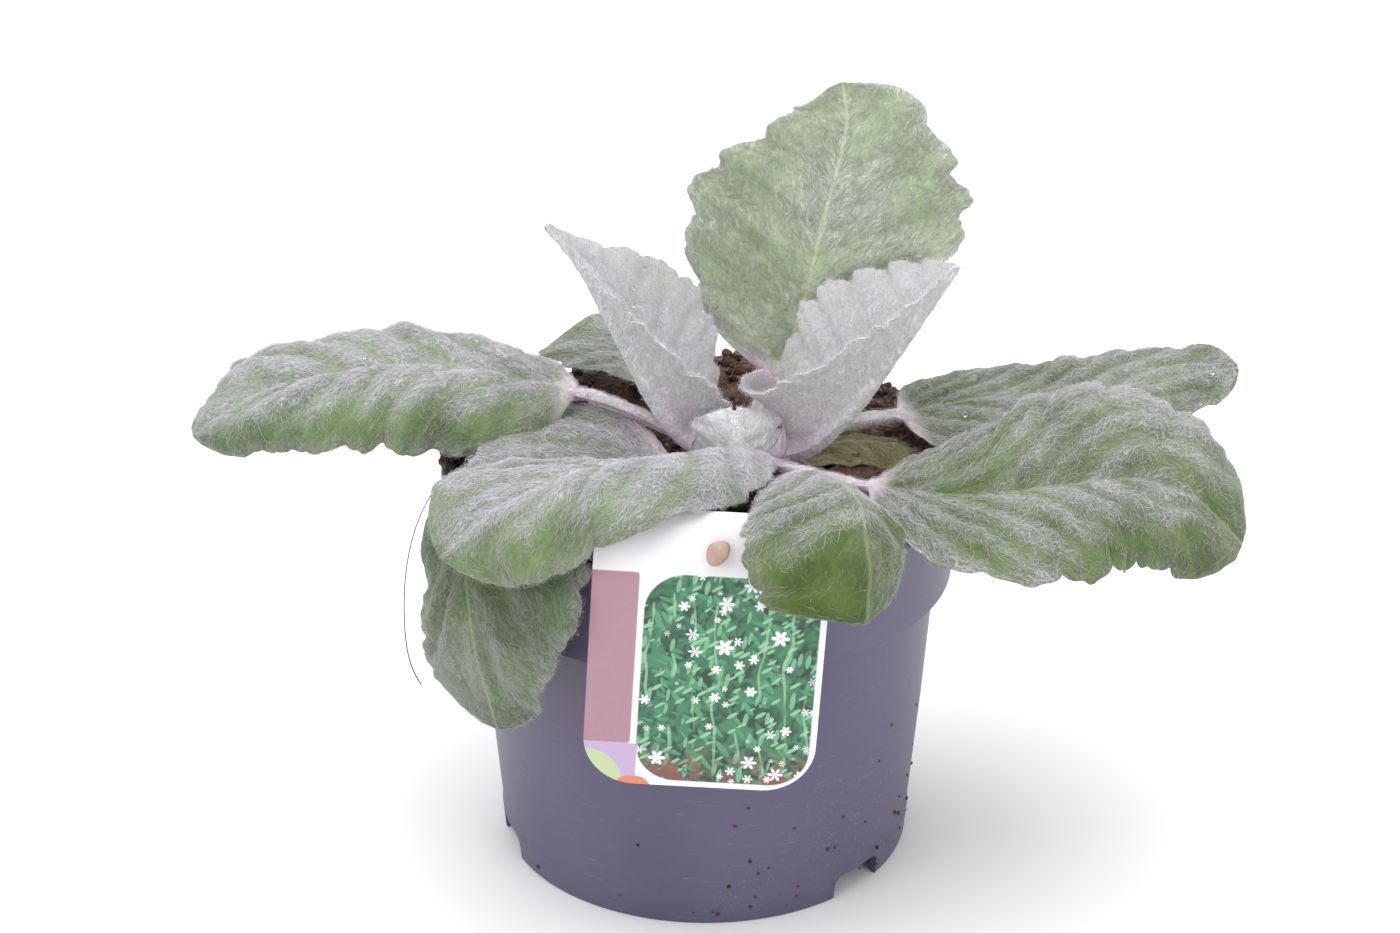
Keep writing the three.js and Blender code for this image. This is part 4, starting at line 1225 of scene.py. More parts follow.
# %% Six finishes for twelve leaves
# The fourth tint is the painted hair off up-facing crests, greyer as painted shade. The fifth is
# the hair on them, paler as painted top light.
leaf_finishes = {
    "leaf_wool": leaf_finish(
        "leaf_green_under_wool",
        "455a31", "617a43", "82985c", "a5a4a3", "d1ccd9", cover=0.26, under_cover=0.6),
    "leaf_young_wool": leaf_finish(
        "leaf_young_white_wool",
        "9da594", "abb3a4", "b9c0b0", "f1edf4", "f1edf4", cover=0.85, under_cover=1.0, young=1.0),
    "leaf_old": leaf_finish(
        "leaf_old_olive",
        "58552e", "76733d", "948f56", "a8a38c", "b5b0a0", cover=0.08, under_cover=0.3, sheen=0.2),
    # A paler copy of the leaf finish for the upright back leaf: painted light, as if lit through
    # from behind, with its own paler midrib.
    "leaf_upright": leaf_finish(
        "leaf_upright_painted_backlight_green",
        "74885c", "8ca26e", "abbc88", "d3d1d7", "dfdbe3", cover=0.38, under_cover=0.6, rib=0.75),
    # A darker copy of the leaf finish for the hanging leaf: painted shade.
    "leaf_shaded": leaf_finish(
        "leaf_hanging_painted_shade_green",
        "3a4d2a", "4e6437", "677c48", "a09f9f", "b9b5bd", cover=0.3, under_cover=0.5),
    "leaf_grassy": leaf_finish(
        "leaf_grassy_green",
        "3f5226", "556a32", "70854a", "9b9997", "c6c2cb", cover=0.1, under_cover=0.45),
}
print("leaf finishes:", [finish.name for finish in leaf_finishes.values()])

# %% [markdown]
# ### Wool
# Silver sage is silver because of its hairs: short ones stand up in a dense nap, long
# silky ones lie across each other like cobweb. The hairs have to be mesh. One is
# modelled as a three-sided strand, drawn out from a triangle and closed to a point at
# both ends. A short hair has one bend and a long one has two.

# %% One hair
def strand_model(stages):
    """A strand of length 1 with a three-sided ring at each inner stage."""
    put_all_down()
    bpy.ops.mesh.primitive_circle_add(vertices=3, radius=1, location=(0, 0, 1 / stages))
    strand = newly_added("strand_model")
    settle(strand)
    bpy.ops.object.mode_set(mode="EDIT")
    bpy.ops.mesh.select_all(action="SELECT")
    bpy.ops.mesh.extrude_region_move(TRANSFORM_OT_translate={"value": (0, 0, -1 / stages)})
    bpy.ops.mesh.merge(type="COLLAPSE")
    for stage in range(2, stages + 1):
        bpy.ops.mesh.select_all(action="DESELECT")
        bpy.ops.object.mode_set(mode="OBJECT")
        for vertex in strand.data.vertices:
            vertex.select = abs(vertex.co.z - (stage - 1) / stages) < 1e-4
        bpy.ops.object.mode_set(mode="EDIT")
        bpy.ops.mesh.extrude_region_move(TRANSFORM_OT_translate={"value": (0, 0, 1 / stages)})
    bpy.ops.mesh.merge(type="COLLAPSE")
    bpy.ops.mesh.select_all(action="SELECT")
    bpy.ops.mesh.quads_convert_to_tris()
    bpy.ops.mesh.normals_make_consistent(inside=False)
    bpy.ops.object.mode_set(mode="OBJECT")
    model = arrays_of(strand)
    throw_away(strand)
    return model


short_strand, long_strand = strand_model(2), strand_model(3)
print("triangles of a short and a long hair:", len(short_strand[1]), len(long_strand[1]))

# %% [markdown]
# ### Reading a skin
# To comb hairs over a leaf, every spot of its skin has to be known. The grid it was made
# from still has its rows and columns, so places and ways are read between its points.
# Roots are drawn by area, so a wide stretch gets more hairs than a narrow one.

# %% A skin as rows and columns
TOPLIT_CREST_FROM, TOPLIT_CREST_SPAN = 0.45, 0.53


def skin_field(skin, marks, wide, outward):
    """Places and ways over a skin, on the rows and columns of its grid."""
    places = skin.reshape(-1, wide, 3)
    ahead, aside = np.gradient(places, axis=0), np.gradient(places, axis=1)
    facing = np.cross(aside, ahead)
    normal = unit(facing) * outward
    middle = (wide - 1) / 2
    field = {name: marks[name].reshape(-1, wide) for name in ("reach", "blade", "vein")}
    ridge = 0.5 + 0.5 * np.cos(2 * math.pi * field["vein"])
    return field | {
        "places": places, "ahead": ahead, "aside": aside, "normal": normal,
        "area": np.linalg.norm(facing, axis=-1), "ridge": ridge,
        # How far the skin faces up, more over the veins: the finishes paint top light from it.
        "crest_and_toplight": toplit_crests(normal[..., 2]) * (0.45 + 0.55 * ridge),
        "hand": lambda column: np.sign(column - middle + 1e-9) * outward,
    }


def toplit_crests(level, around=2):
    """How far the smoothed skin faces up, its share of painted top light: 0 for upright or hanging
    parts, 1 for crests.
    """
    wide = np.pad(level, around, mode="edge")
    rows, columns = level.shape
    steps = range(2 * around + 1)
    mean = sum(wide[i:i + rows, j:j + columns] for i in steps for j in steps) / len(steps) ** 2
    share = ((mean - TOPLIT_CREST_FROM) / TOPLIT_CREST_SPAN).clip(0, 1)
    return share * share * (3 - 2 * share)


def rooted(field, weight, count, chance):
    """Rows and columns of a number of roots, drawn by area and weight."""
    share = (field["area"] * weight)[:-1, :-1].ravel()
    chosen = chance.choice(len(share), count, p=share / share.sum())
    i, j = np.divmod(chosen, field["area"].shape[1] - 1)
    spread = chance.uniform(0, 1, (2, count))
    return i + spread[0], j + spread[1]


def read(values, row, column):
    """Values between the points of the grid."""
    i = np.clip(row.astype(int), 0, values.shape[0] - 2)
    j = np.clip(column.astype(int), 0, values.shape[1] - 2)
    a = np.clip(row - i, 0, 1)[:, None]
    b = np.clip(column - j, 0, 1)[:, None]
    near = values[i, j] * (1 - a) + values[i + 1, j] * a
    far = values[i, j + 1] * (1 - a) + values[i + 1, j + 1] * a
    return near * (1 - b) + far * b


# %% [markdown]
# ### Hairs that lie and hairs that stand
# Silk rises a little from the skin and then creeps over it, turning aside as it goes. The
# nap and the fringe stand up, then bend over outwards and ahead, with plenty of disorder.
# Each hair is first only a row of stations, which is quick for thousands of them at once.

# %% Stations of the hairs
ROOT_DEPTH = 0.25
RISE_RATE, TIP_DROP, PAST_MARGIN = 2.2, 0.25, 0.25


def way_over(field, row, column, normal, heading):
    """The way over a skin at a heading, counted from straight ahead towards the margin."""
    ahead = unit(read(field["ahead"], row, column))
    out = unit(np.cross(ahead, normal) * field["hand"](column)[:, None])
    return out * np.sin(heading) + ahead * np.cos(heading)


def laid(field, row, column, heading, stages, chance, length, thickness, height, swirl, waver):
    """Strands that rise from the skin and lie along it, turning aside as they go."""
    count = len(row)
    long = chance.uniform(*length, count)[:, None] * MM
    top = chance.uniform(*height, count)[:, None] * MM
    turn = np.radians(chance.normal(0, swirl, count))[:, None] / stages
    step = long / stages
    rows, columns = field["reach"].shape
    wander, over = np.zeros((count, 1)), np.zeros((count, 3))
    stations, ups = [], []
    for stage in range(stages + 1):
        normal = unit(read(field["normal"], row, column))
        rise = min(stage / stages * RISE_RATE, 1) * (1 - TIP_DROP * (stage == stages))
        sunk = -ROOT_DEPTH * MM if stage == 0 else 0
        stations.append(read(field["places"], row, column) + over + normal * (top * rise + sunk))
        ups.append(normal)
        wander = wander + turn + np.radians(chance.normal(0, waver, (count, 1)))
        way = way_over(field, row, column, normal, heading + wander)
        ahead, aside = read(field["ahead"], row, column), read(field["aside"], row, column)
        rows_on = np.sum(way * unit(ahead), axis=1) * step[:, 0] / np.linalg.norm(ahead, axis=1)
        pitch = np.maximum(np.sum(aside * aside, axis=1), 1e-9)
        columns_on = np.sum(way * aside, axis=1) * step[:, 0] / pitch
        new_row, new_column = row + rows_on, column + columns_on
        row, column = np.clip(new_row, 0, rows - 1), np.clip(new_column, 0, columns - 1)
        past = (np.abs(new_row - row) + np.abs(new_column - column) > 1e-6)[:, None]
        over = over + np.where(past, way * step * PAST_MARGIN, 0)
    return np.stack(stations, axis=1), np.stack(ups, axis=1), thickness_of(chance, thickness, count)


def thickness_of(chance, thickness, count):
    return chance.uniform(*thickness, count)[:, None, None] * MM


def raised_up(field, row, column, heading, stages, chance, **manner):
    """Strands that stand up from the skin and bend over."""
    roots = read(field["places"], row, column)
    normals = unit(read(field["normal"], row, column))
    ways = way_over(field, row, column, normals, heading)
    return standing(roots, normals, ways, stages, chance, **manner)


def standing(roots, normals, ways, stages, chance, length, thickness, lift, settle_to, swirl):
    """Strands from their roots, each lifted off its way and settling towards its tip."""
    count = len(roots)
    long = chance.uniform(*length, count)[:, None] * MM
    start = np.radians(chance.uniform(*lift, count))[:, None]
    rest = np.radians(chance.uniform(*settle_to, count))[:, None]
    bend = np.radians(chance.normal(0, swirl, count))[:, None]
    aside = unit(np.cross(normals, ways))
    at = roots - normals * ROOT_DEPTH * MM
    stations = [at]
    for stage in range(stages):
        share = (stage + 0.5) / stages
        rise, turn = start + (rest - start) * share, bend * share
        way = ways * np.cos(turn) + aside * np.sin(turn)
        at = at + (way * np.cos(rise) + normals * np.sin(rise)) * long / stages
        stations.append(at)
    ups = np.repeat(normals[:, None], stages + 1, axis=1)
    return np.stack(stations, axis=1), ups, thickness_of(chance, thickness, count)


# %% [markdown]
# ### Drawing the strands
# A copy of the strand is drawn along each row of stations: every ring of it goes to its
# own station and is turned across the way of the hair. The hairs of a leaf are gathered
# as one piece, with marks that their finish reads.

# %% Strands along their stations
BASE_REACH = 0.16


def strands(model, stations, ups, thickness):
    """Copies of the strand drawn along rows of stations, with each point's share of it."""
    shape, faces = model
    stages = stations.shape[1] - 1
    ways = unit(np.gradient(stations, axis=1))
    aside = unit(np.cross(ups, ways))
    above = np.cross(ways, aside)
    stage_of = np.round(shape[:, 2] * stages).astype(int)
    x, y = shape[:, 0][:, None], shape[:, 1][:, None]
    ring = x * aside[:, stage_of] + y * above[:, stage_of]
    places = (stations[:, stage_of] + ring * thickness).reshape(-1, 3)
    shift = np.arange(len(stations))[:, None, None] * len(shape)
    return places, (faces[None] + shift).reshape(-1, 3), np.tile(shape[:, 2], len(stations))


def gathered(name, bundles):
    """Bundles of strands as one piece, with a mark that runs from root to tip."""
    shift = np.cumsum([0] + [len(b[0]) for b in bundles[:-1]])
    places = np.concatenate([b[0] for b in bundles])
    faces = np.concatenate([b[1] + s for b, s in zip(bundles, shift)])
    piece = piece_from(name, places, faces)
    write_mark(piece, "tip", np.concatenate([b[2] for b in bundles]))
    return piece


def root_marks(bundles, field, drawn_roots):
    """For every strand, how high its root lies on an up-facing crest, which sets its painted shade,
    and how near the petiole.
    """
    crest_and_toplight, base = [], []
    for (places, _, _), (row, column, _) in zip(bundles, drawn_roots):
        points_each = len(places) // len(row)
        on_toplit_crest = read(field["crest_and_toplight"][..., None], row, column)[:, 0]
        near_base = np.exp(-read(field["blade"][..., None], row, column)[:, 0] / BASE_REACH)
        crest_and_toplight.append(np.repeat(on_toplit_crest, points_each))
        base.append(np.repeat(near_base, points_each))
    return np.concatenate(crest_and_toplight), np.concatenate(base)


# %% Wool finish
def wool_finish(name, root, middle, tip, low, blush="d0bccf"):
    """Tints from root to tip, then a darker one painted as shade on hairs off the up-facing crests,
    and one for the base.
    """
    finish = new_finish(name)
    place = here(finish)
    shade = between(finish, noise(finish, place, 300), 0.3, 0.7)
    reach = mark(finish, "tip")
    whole = blend(finish, between(finish, reach, 0.0, 0.45), tint(root), tint(middle))
    whole = blend(finish, between(finish, reach, 0.4, 1.0), whole, tint(tip))
    whole = blend(finish, times(finish, shade, 0.35), whole, tint(middle))
    # Hairs off the up-facing crests get the darker low tint, a painted shade.
    shaded_off_crest = between(finish, mark(finish, "crest_and_toplight"), 0.75, 0.1)
    whole = blend(finish, shaded_off_crest, whole, tint(low))
    whole = blend(finish, times(finish, mark(finish, "base"), 0.55), whole, tint(blush))
    fine = noise(finish, here(finish, (1, 1, 6)), 1500)
    set_shader(finish, Base_Color=whole, Roughness=0.62, Sheen_Weight=0.25, Sheen_Roughness=0.4,
               Specular_IOR_Level=0.35, Normal=raised(finish, fine, 0.2, 0.00005))
    return finish


# The fourth tint of each wool is for hairs off the up-facing crests, darker as painted shade.
wool_finishes = {
    "leaf_wool": wool_finish("wool_silver", "b9b7bc", "d4d0db", "e9e5ef", "acaea3"),
    "leaf_young_wool": wool_finish("wool_white", "e8e4ec", "f1edf5", "f8f5fa", "efebf3", "d8c2dc"),
    "leaf_old": wool_finish("wool_thin", "8f8a68", "aaa58a", "c6c2b6", "9c986f"),
}
print("wool finishes:", [finish.name for finish in wool_finishes.values()])

# %% [markdown]
# ### Every leaf with its wool
# Each leaf now goes through the same steps: grid, thickness, marks, finish, and then its
# wool. The share of hairs follows the leaf's area, its age and the skin they grow on.
# The margin gets its own fringe, because that is where the halo round each leaf comes
# from.

# %% Density of the wool over and under, and finishes that differ
WOOL = {
    "leaf_heart": (1.2, 1.4), "leaf_inner_right": (0.7, 0.95), "leaf_inner_left": (0.7, 0.95),
    "leaf_back": (1.1, 0.24), "leaf_front_left": (1.3, 0.22), "leaf_front_right": (0.6, 0.22),
    "leaf_right_front": (0.62, 0.2), "leaf_right_back": (0.5, 0.18), "leaf_left": (1.1, 0.22),
    "leaf_front_left_hanging": (0.75, 0.22), "leaf_back_left": (0.8, 0.25),
    "leaf_low_right": (0.4, 0.3),
}
FINISH_OF = {
    "leaf_back": "leaf_upright", "leaf_front_left_hanging": "leaf_shaded",
    "leaf_front_right": "leaf_grassy", "leaf_back_left": "leaf_grassy",
    "leaf_right_back": "leaf_grassy", "leaf_right_front": "leaf_grassy",
}

# %% Three kinds of hair for grown and for young leaves
SILK_HEADING, NAP_HEADING, FRINGE_HEADING = (48, 55), (50, 70), (85, 22)
GROWN_WOOL = {
    "silk": (44, {
        "length": (2.6, 7.0), "thickness": (0.036, 0.064), "height": (0.25, 0.9),
        "swirl": 55, "waver": 15,
    }),
    "nap": (22, {
        "length": (0.9, 2.0), "thickness": (0.032, 0.05), "lift": (35, 80),
        "settle_to": (5, 50), "swirl": 45,
    }),
    "fringe": (22, {
        "length": (0.9, 2.2), "thickness": (0.026, 0.04), "lift": (0, 65),
        "settle_to": (-10, 40), "swirl": 30,
    }),
}
YOUNG_WOOL = {
    "silk": (18, {
        "length": (1.5, 4.5), "thickness": (0.034, 0.056), "height": (0.15, 0.7),
        "swirl": 80, "waver": 20,
    }),
    "nap": (70, {
        "length": (1.0, 2.4), "thickness": (0.032, 0.052), "lift": (40, 85),
        "settle_to": (10, 70), "swirl": 60,
    }),
    "fringe": (40, {
        "length": (0.9, 2.3), "thickness": (0.026, 0.04), "lift": (10, 85),
        "settle_to": (-10, 80), "swirl": 40,
    }),
}


# %% Wool of one skin
def wool_bundles(field, kind, density, chance):
    """A layer of silk, a nap and a fringe for one skin of a leaf."""
    area_cm2 = field["area"].sum() * 1e4
    on_margin = np.exp(-((1 - field["reach"]) / 0.10) ** 2)
    at_base = np.exp(-field["blade"] / 0.08)
    x, y, z = (field["places"][..., k] for k in range(3))
    drift = np.sin(x * 410) * np.sin(y * 350 + z * 290)
    silky = 0.5 + 0.9 * field["ridge"] ** 2 + 0.4 * on_margin + 0.35 * drift.clip(0, 1)
    silky += 1.2 * at_base
    silky *= 0.2 + 1.3 * field["crest_and_toplight"]
    napped = (1 + 0.5 * on_margin + 1.2 * at_base) * (0.5 + field["crest_and_toplight"])

    def roots(weight, per_cm2, towards, spread):
        row, column = rooted(field, weight, round(per_cm2 * density * area_cm2), chance)
        return row, column, np.radians(chance.normal(towards, spread, (len(row), 1)))

    silks, silk_manner = kind["silk"]
    naps, nap_manner = kind["nap"]
    fringes, fringe_manner = kind["fringe"]
    silk = roots(silky, silks, *SILK_HEADING)
    nap = roots(napped, naps, *NAP_HEADING)
    fringe = roots(on_margin + 1e-4, fringes, *FRINGE_HEADING)
    bundles = [
        strands(long_strand, *laid(field, *silk, 3, chance, **silk_manner)),
        strands(short_strand, *raised_up(field, *nap, 2, chance, **nap_manner)),
        strands(short_strand, *raised_up(field, *fringe, 2, chance, **fringe_manner)),
    ]
    return bundles, *root_marks(bundles, field, (silk, nap, fringe))


# %% Make the leaves
upper_skins = {}
wool_total = 0
for number, leaf in enumerate(LEAVES):
    name, slot = leaf["name"], leaf["slot"]
    chance = np.random.default_rng(100 + number)
    sheet, marks, wide = leaf_sheet(leaf, chance)
    upper, lower = thicken(sheet, leaf, marks)
    write_marks(sheet, marks, len(upper))
    skins = [skin_field(upper, marks, wide, 1), skin_field(lower, marks, wide, -1)]
    # How far each skin faces up, which the finishes paint as top light.
    write_mark(sheet, "crest_and_toplight", np.concatenate([skin["crest_and_toplight"].ravel() for skin in skins]))
    smooth(sheet, 60)
    finish_piece(sheet, leaf_finishes[FINISH_OF.get(name, slot)], slot, name)
    upper_skins[name] = skins[0]
    kind = YOUNG_WOOL if slot == "leaf_young_wool" else GROWN_WOOL
    grown = [wool_bundles(skin, kind, share, chance) for skin, share in zip(skins, WOOL[name])]
    wool = gathered("wool_" + name, [bundle for bundles, _, _ in grown for bundle in bundles])
    write_mark(wool, "crest_and_toplight", np.concatenate([crest_and_toplight for _, crest_and_toplight, _ in grown]))
    write_mark(wool, "base", np.concatenate([base for _, _, base in grown]))
    finish_piece(wool, wool_finishes[slot], slot)
    wool_total += triangles_in(wool)
print("wool in all:", wool_total, "triangles")

# %% [markdown]
# ### Wool on the crown
# The crown is the woolliest place of all: the bases of the youngest leaves press together
# there. Long white hairs are combed upwards over the top of the knob.

# %% Crown wool
CROWN_HAIRS = 1500
KNOB_RADIUS, KNOB_SHOULDER, KNOB_RISE = 12.2, 137.5, 9.5
chance = np.random.default_rng(7)
turn_round = chance.uniform(0, 2 * math.pi, CROWN_HAIRS)
climb = chance.uniform(0, 1, CROWN_HAIRS)
knob_radius = KNOB_RADIUS * np.cos(climb * math.pi / 2)
round_way = np.stack([np.cos(turn_round), np.sin(turn_round), np.zeros(CROWN_HAIRS)], axis=1)
roots = round_way * knob_radius[:, None] + np.array([CROWN_X, CROWN_Y, 0])
roots[:, 2] = KNOB_SHOULDER + KNOB_RISE * np.sin(climb * math.pi / 2)
straight_up = np.array([0, 0, 1.0])
normals = unit(round_way * np.cos(climb)[:, None] + straight_up * (0.3 + climb)[:, None])
ways = unit(np.cross(normals, chance.normal(0, 1, (CROWN_HAIRS, 3))))
tuft = strands(long_strand, *standing(
    roots * MM, normals, ways, 3, chance,
    length=(2.5, 5), thickness=(0.05, 0.08), lift=(30, 80), settle_to=(-10, 40), swirl=50,
))
crown_hair = gathered("wool_crown", [tuft])
# Every crown hair counts as lit on a crest, so none of them gets the painted shade.
write_mark(crown_hair, "crest_and_toplight", np.ones(len(tuft[0])))
write_mark(crown_hair, "base", np.full(len(tuft[0]), 0.5))
finish_piece(crown_hair, wool_finishes["leaf_young_wool"], "crown_wool")

# %% [markdown]
# ## Label
# A printed plastic label hangs over the front of the pot, pinned into the soil by a peg.
# It is a thin sheet with round corners, laid flat, turned a little, and bent back over
# the lip. A grid carries the print: its UV map gives the place on the flat label, so the
# picture panel, the bands and the small shapes stay where they were printed.

# %% Label sheet
TAG_WIDTH, TAG_LENGTH, TAG_THICKNESS = 75.0, 98.0, 0.7
TAG_HEAD_CORNER, TAG_FOOT_CORNER = 7.0, 17.0
TAG_BOTTOM, TAG_TURN = 66.0, math.radians(-3.5)
TAG_BEND_START, TAG_BEND_RADIUS = 139.5, 24.0
TAG_PLANE = -(LIP_RADIUS + 0.4 + TAG_THICKNESS / 2)
TAG_COLUMNS, TAG_ROWS = 40, 72


def hung(x, v):
    """Where a point of the flat label lies once it is hung and bent back."""
    middle = TAG_BOTTOM + TAG_LENGTH / 2
    across = x * math.cos(TAG_TURN) - (v - middle) * math.sin(TAG_TURN)
    height = middle + x * math.sin(TAG_TURN) + (v - middle) * math.cos(TAG_TURN)
    angle = np.maximum(height - TAG_BEND_START, 0) / TAG_BEND_RADIUS
    back = TAG_PLANE + TAG_BEND_RADIUS * (1 - np.cos(angle))
    lifted = np.where(angle > 0, TAG_BEND_START + TAG_BEND_RADIUS * np.sin(angle), height)
    return np.stack([across, back, lifted], axis=1)


put_all_down()
bpy.ops.mesh.primitive_grid_add(x_subdivisions=TAG_COLUMNS, y_subdivisions=TAG_ROWS, size=1)
tag = newly_added("tag_sheet")
grid = places_of(tag)
rise = (np.sin(grid[:, 1] * math.pi) + 1) / 2 * TAG_LENGTH
half = np.full(len(grid), TAG_WIDTH / 2)
for corner, from_end in ((TAG_FOOT_CORNER, rise), (TAG_HEAD_CORNER, TAG_LENGTH - rise)):
    short = np.maximum(corner - from_end, 0)
    half -= corner - np.sqrt(np.maximum(corner ** 2 - short ** 2, 0))
flat_x = 2 * grid[:, 0] * half
move_to(tag, hung(flat_x, TAG_BOTTOM + rise) * MM)
corners = np.empty(len(tag.data.loops), dtype=int)
tag.data.loops.foreach_get("vertex_index", corners)
printed = np.stack([flat_x, rise], axis=1)[corners] / 100
tag.data.uv_layers[0].name = "print_uv"
tag.data.uv_layers[0].data.foreach_set("uv", printed.astype(np.float32).ravel())
apply_modifier(tag, "SOLIDIFY", thickness=TAG_THICKNESS * MM, offset=0, use_even_offset=True)
front = np.zeros(len(tag.data.vertices))
front[:len(grid)] = 1
write_mark(tag, "front", front)
print("label:", triangles_in(tag), "triangles")

# %% [markdown]
# ### Print on the label
# The design is a plain garden one: a white head, a picture panel of green foliage with
# white daisies, a mauve band down the left side, and plain shapes in pale green, coral
# and lilac at its foot. Everything is drawn with distances on the flat label.

# %% Shapes of the print
tag_finish = new_finish("label_print")
uv = node(tag_finish, "UVMap", uv_map="print_uv")
PANEL = {"middle": (0.075, 0.395), "half": (0.28, 0.375), "corner": 0.13}
BAND = {"middle": (-0.31, 0.46), "half": (0.085, 0.31), "corner": 0.012}


def inside_round_box(finish, flat, middle, half, corner, soft=0.003):
    moved = node(finish, "VectorMath", {0: flat, 1: (*middle, 0)}, operation="SUBTRACT")
    folded = node(finish, "VectorMath", {0: moved}, operation="ABSOLUTE")
    inner = (half[0] - corner, half[1] - corner, 0)
    past = node(finish, "VectorMath", {0: folded, 1: inner}, operation="SUBTRACT")
    past = node(finish, "VectorMath", {0: past, 1: (0, 0, 0)}, operation="MAXIMUM")
    distance = node(finish, "VectorMath", {0: past}, outlet="Value", operation="LENGTH")
    return between(finish, distance, corner + soft, corner - soft)


def daisies(finish, flat, per_unit, low, high):
    """White petals and a yellow eye in some of the cells of a scattered pattern."""
    def scattered(outlet):
        return cells(finish, flat, per_unit, outlet=outlet, jitter=0.85)

    distance, spot = scattered("Distance"), scattered("Position")
    picked = node(finish, "SeparateColor", {"Color": scattered("Color")})
    from_spot = node(finish, "VectorMath", {0: flat, 1: spot}, operation="SUBTRACT")
    x, y = axis_of(finish, from_spot, "X"), axis_of(finish, from_spot, "Y")
    angle = sums(finish, "ARCTAN2", y, x)
    petals = sums(finish, "ABSOLUTE", sums(finish, "COSINE", times(finish, angle, 3.0)))
    edge = node(finish, "Math", {0: petals, 1: 0.2, 2: 0.13}, operation="MULTIPLY_ADD")
    chosen = between(finish, picked, low, high)
    white = times(finish, sums(finish, "LESS_THAN", distance, edge), chosen)
    eye = times(finish, sums(finish, "LESS_THAN", distance, 0.06), chosen)
    return white, eye


def blades(finish, flat, turn, size, keep):
    """Slender leaf shapes lying one way, in some of the cells of a stretched pattern."""
    laid = node(finish, "Mapping", {"Vector": flat, "Rotation": (0, 0, math.radians(turn))})
    drawn = node(finish, "Mapping", {"Vector": laid, "Scale": (size, size / 3.2, 1)})
    body = between(finish, cells(finish, drawn, 1.0), 0.42, 0.34)
    picked = node(finish, "SeparateColor", {"Color": cells(finish, drawn, 1.0, outlet="Color")})
    return times(finish, body, between(finish, picked, keep, keep + 0.02))


# %% Picture panel
across, upward = axis_of(tag_finish, uv, "X"), axis_of(tag_finish, uv, "Y")
foliage = noise(tag_finish, uv, 14, detail=6, warp=1.2)
panel = blend(tag_finish, between(tag_finish, foliage, 0.36, 0.62), tint("173c2b"), tint("3d7a58"))
for turn, size, keep, code in (
    (25, 34, 0.35, "2f6b4b"), (-35, 40, 0.45, "4f8f68"), (8, 46, 0.55, "6fa681"),
    (-70, 52, 0.6, "3f8a63"), (55, 60, 0.62, "86b892"),
):
    panel = blend(tag_finish, blades(tag_finish, uv, turn, size, keep), panel, tint(code))
stems = node(tag_finish, "TexWave", {
    "Vector": uv, "Scale": 4.2, "Distortion": 7.0, "Detail": 2.0, "Detail Scale": 0.6,
}, outlet="Fac", bands_direction="X")
stem_patches = between(tag_finish, noise(tag_finish, uv, 6), 0.45, 0.55)
stem_line = times(tag_finish, between(tag_finish, stems, 0.95, 0.99), stem_patches)
panel = blend(tag_finish, times(tag_finish, stem_line, 0.6), panel, tint("9cc39f"))
bare_gaps = between(tag_finish, foliage, 0.42, 0.55)
ground = times(tag_finish, between(tag_finish, upward, 0.17, 0.05), bare_gaps)
panel = blend(tag_finish, ground, panel, tint("7a4a3f"))
for per_unit, low, high in ((11.0, 0.50, 0.52), (17.0, 0.60, 0.62), (25.0, 0.72, 0.74)):
    white, eye = daisies(tag_finish, uv, per_unit, low, high)
    panel = blend(tag_finish, white, panel, tint("e3e2e6"))
    panel = blend(tag_finish, eye, panel, tint("c9c07a"))

# %% Paper, bands and plain shapes
paper = blend(tag_finish, noise(tag_finish, uv, 30), tint("e6e3e8"), tint("ebe9ed"))
mauve = blend(tag_finish, noise(tag_finish, uv, 60), tint("9f7a86"), tint("a5808c"))
printed = blend(tag_finish, inside_round_box(tag_finish, uv, **BAND), paper, mauve)
far_left = between(tag_finish, across, -0.2, -0.204)
low_left = times(tag_finish, between(tag_finish, upward, 0.152, 0.148), far_left)
printed = blend(tag_finish, low_left, printed, tint("b79fc4"))
for middle, half, code in (
    ((-0.37, 0.0), (0.125, 0.125), "b4c398"), ((-0.21, -0.02), (0.06, 0.05), "d27a62"),
):
    shape = inside_round_box(tag_finish, uv, middle, half, half[1] * 0.98)
    printed = blend(tag_finish, shape, printed, tint(code))
printed = blend(tag_finish, inside_round_box(tag_finish, uv, **PANEL), printed, panel)
face = blend(tag_finish, mark(tag_finish, "front"), tint("e6e4e8"), printed)
worn = noise(tag_finish, here(tag_finish), 120, detail=3)
set_shader(
    tag_finish,
    Base_Color=face,
    Roughness=between(tag_finish, worn, 0.3, 0.7, 0.3, 0.42),
    Coat_Weight=0.2,
    Coat_Roughness=0.15,
    Normal=raised(tag_finish, worn, 0.05, 0.0005),
)
print("nodes in the print:", len(tag_finish.node_tree.nodes))

# %% [markdown]
# ### Peg
# The peg is a tapered pin with a drop-shaped head, moulded in tan plastic. It is turned
# upright, then leaned back and set through a punched hole near the top of the label.

# %% Peg and its hole
PEG_X, PEG_HEIGHT, PEG_STAND_OFF = 3.6, 149.5, 3.0
PEG_SLOPE = math.radians(42)
PEG_HEAD_FROM, PEG_POINT_WAY, PEG_SHOULDER_WAY = -1.5, math.radians(245), math.radians(42)
PUNCH_RADIUS, PUNCH_LENGTH = 1.9, 24
peg_bend = (PEG_HEIGHT - TAG_BEND_START) / TAG_BEND_RADIUS
peg_seat = TAG_PLANE + TAG_BEND_RADIUS * (1 - math.cos(peg_bend))


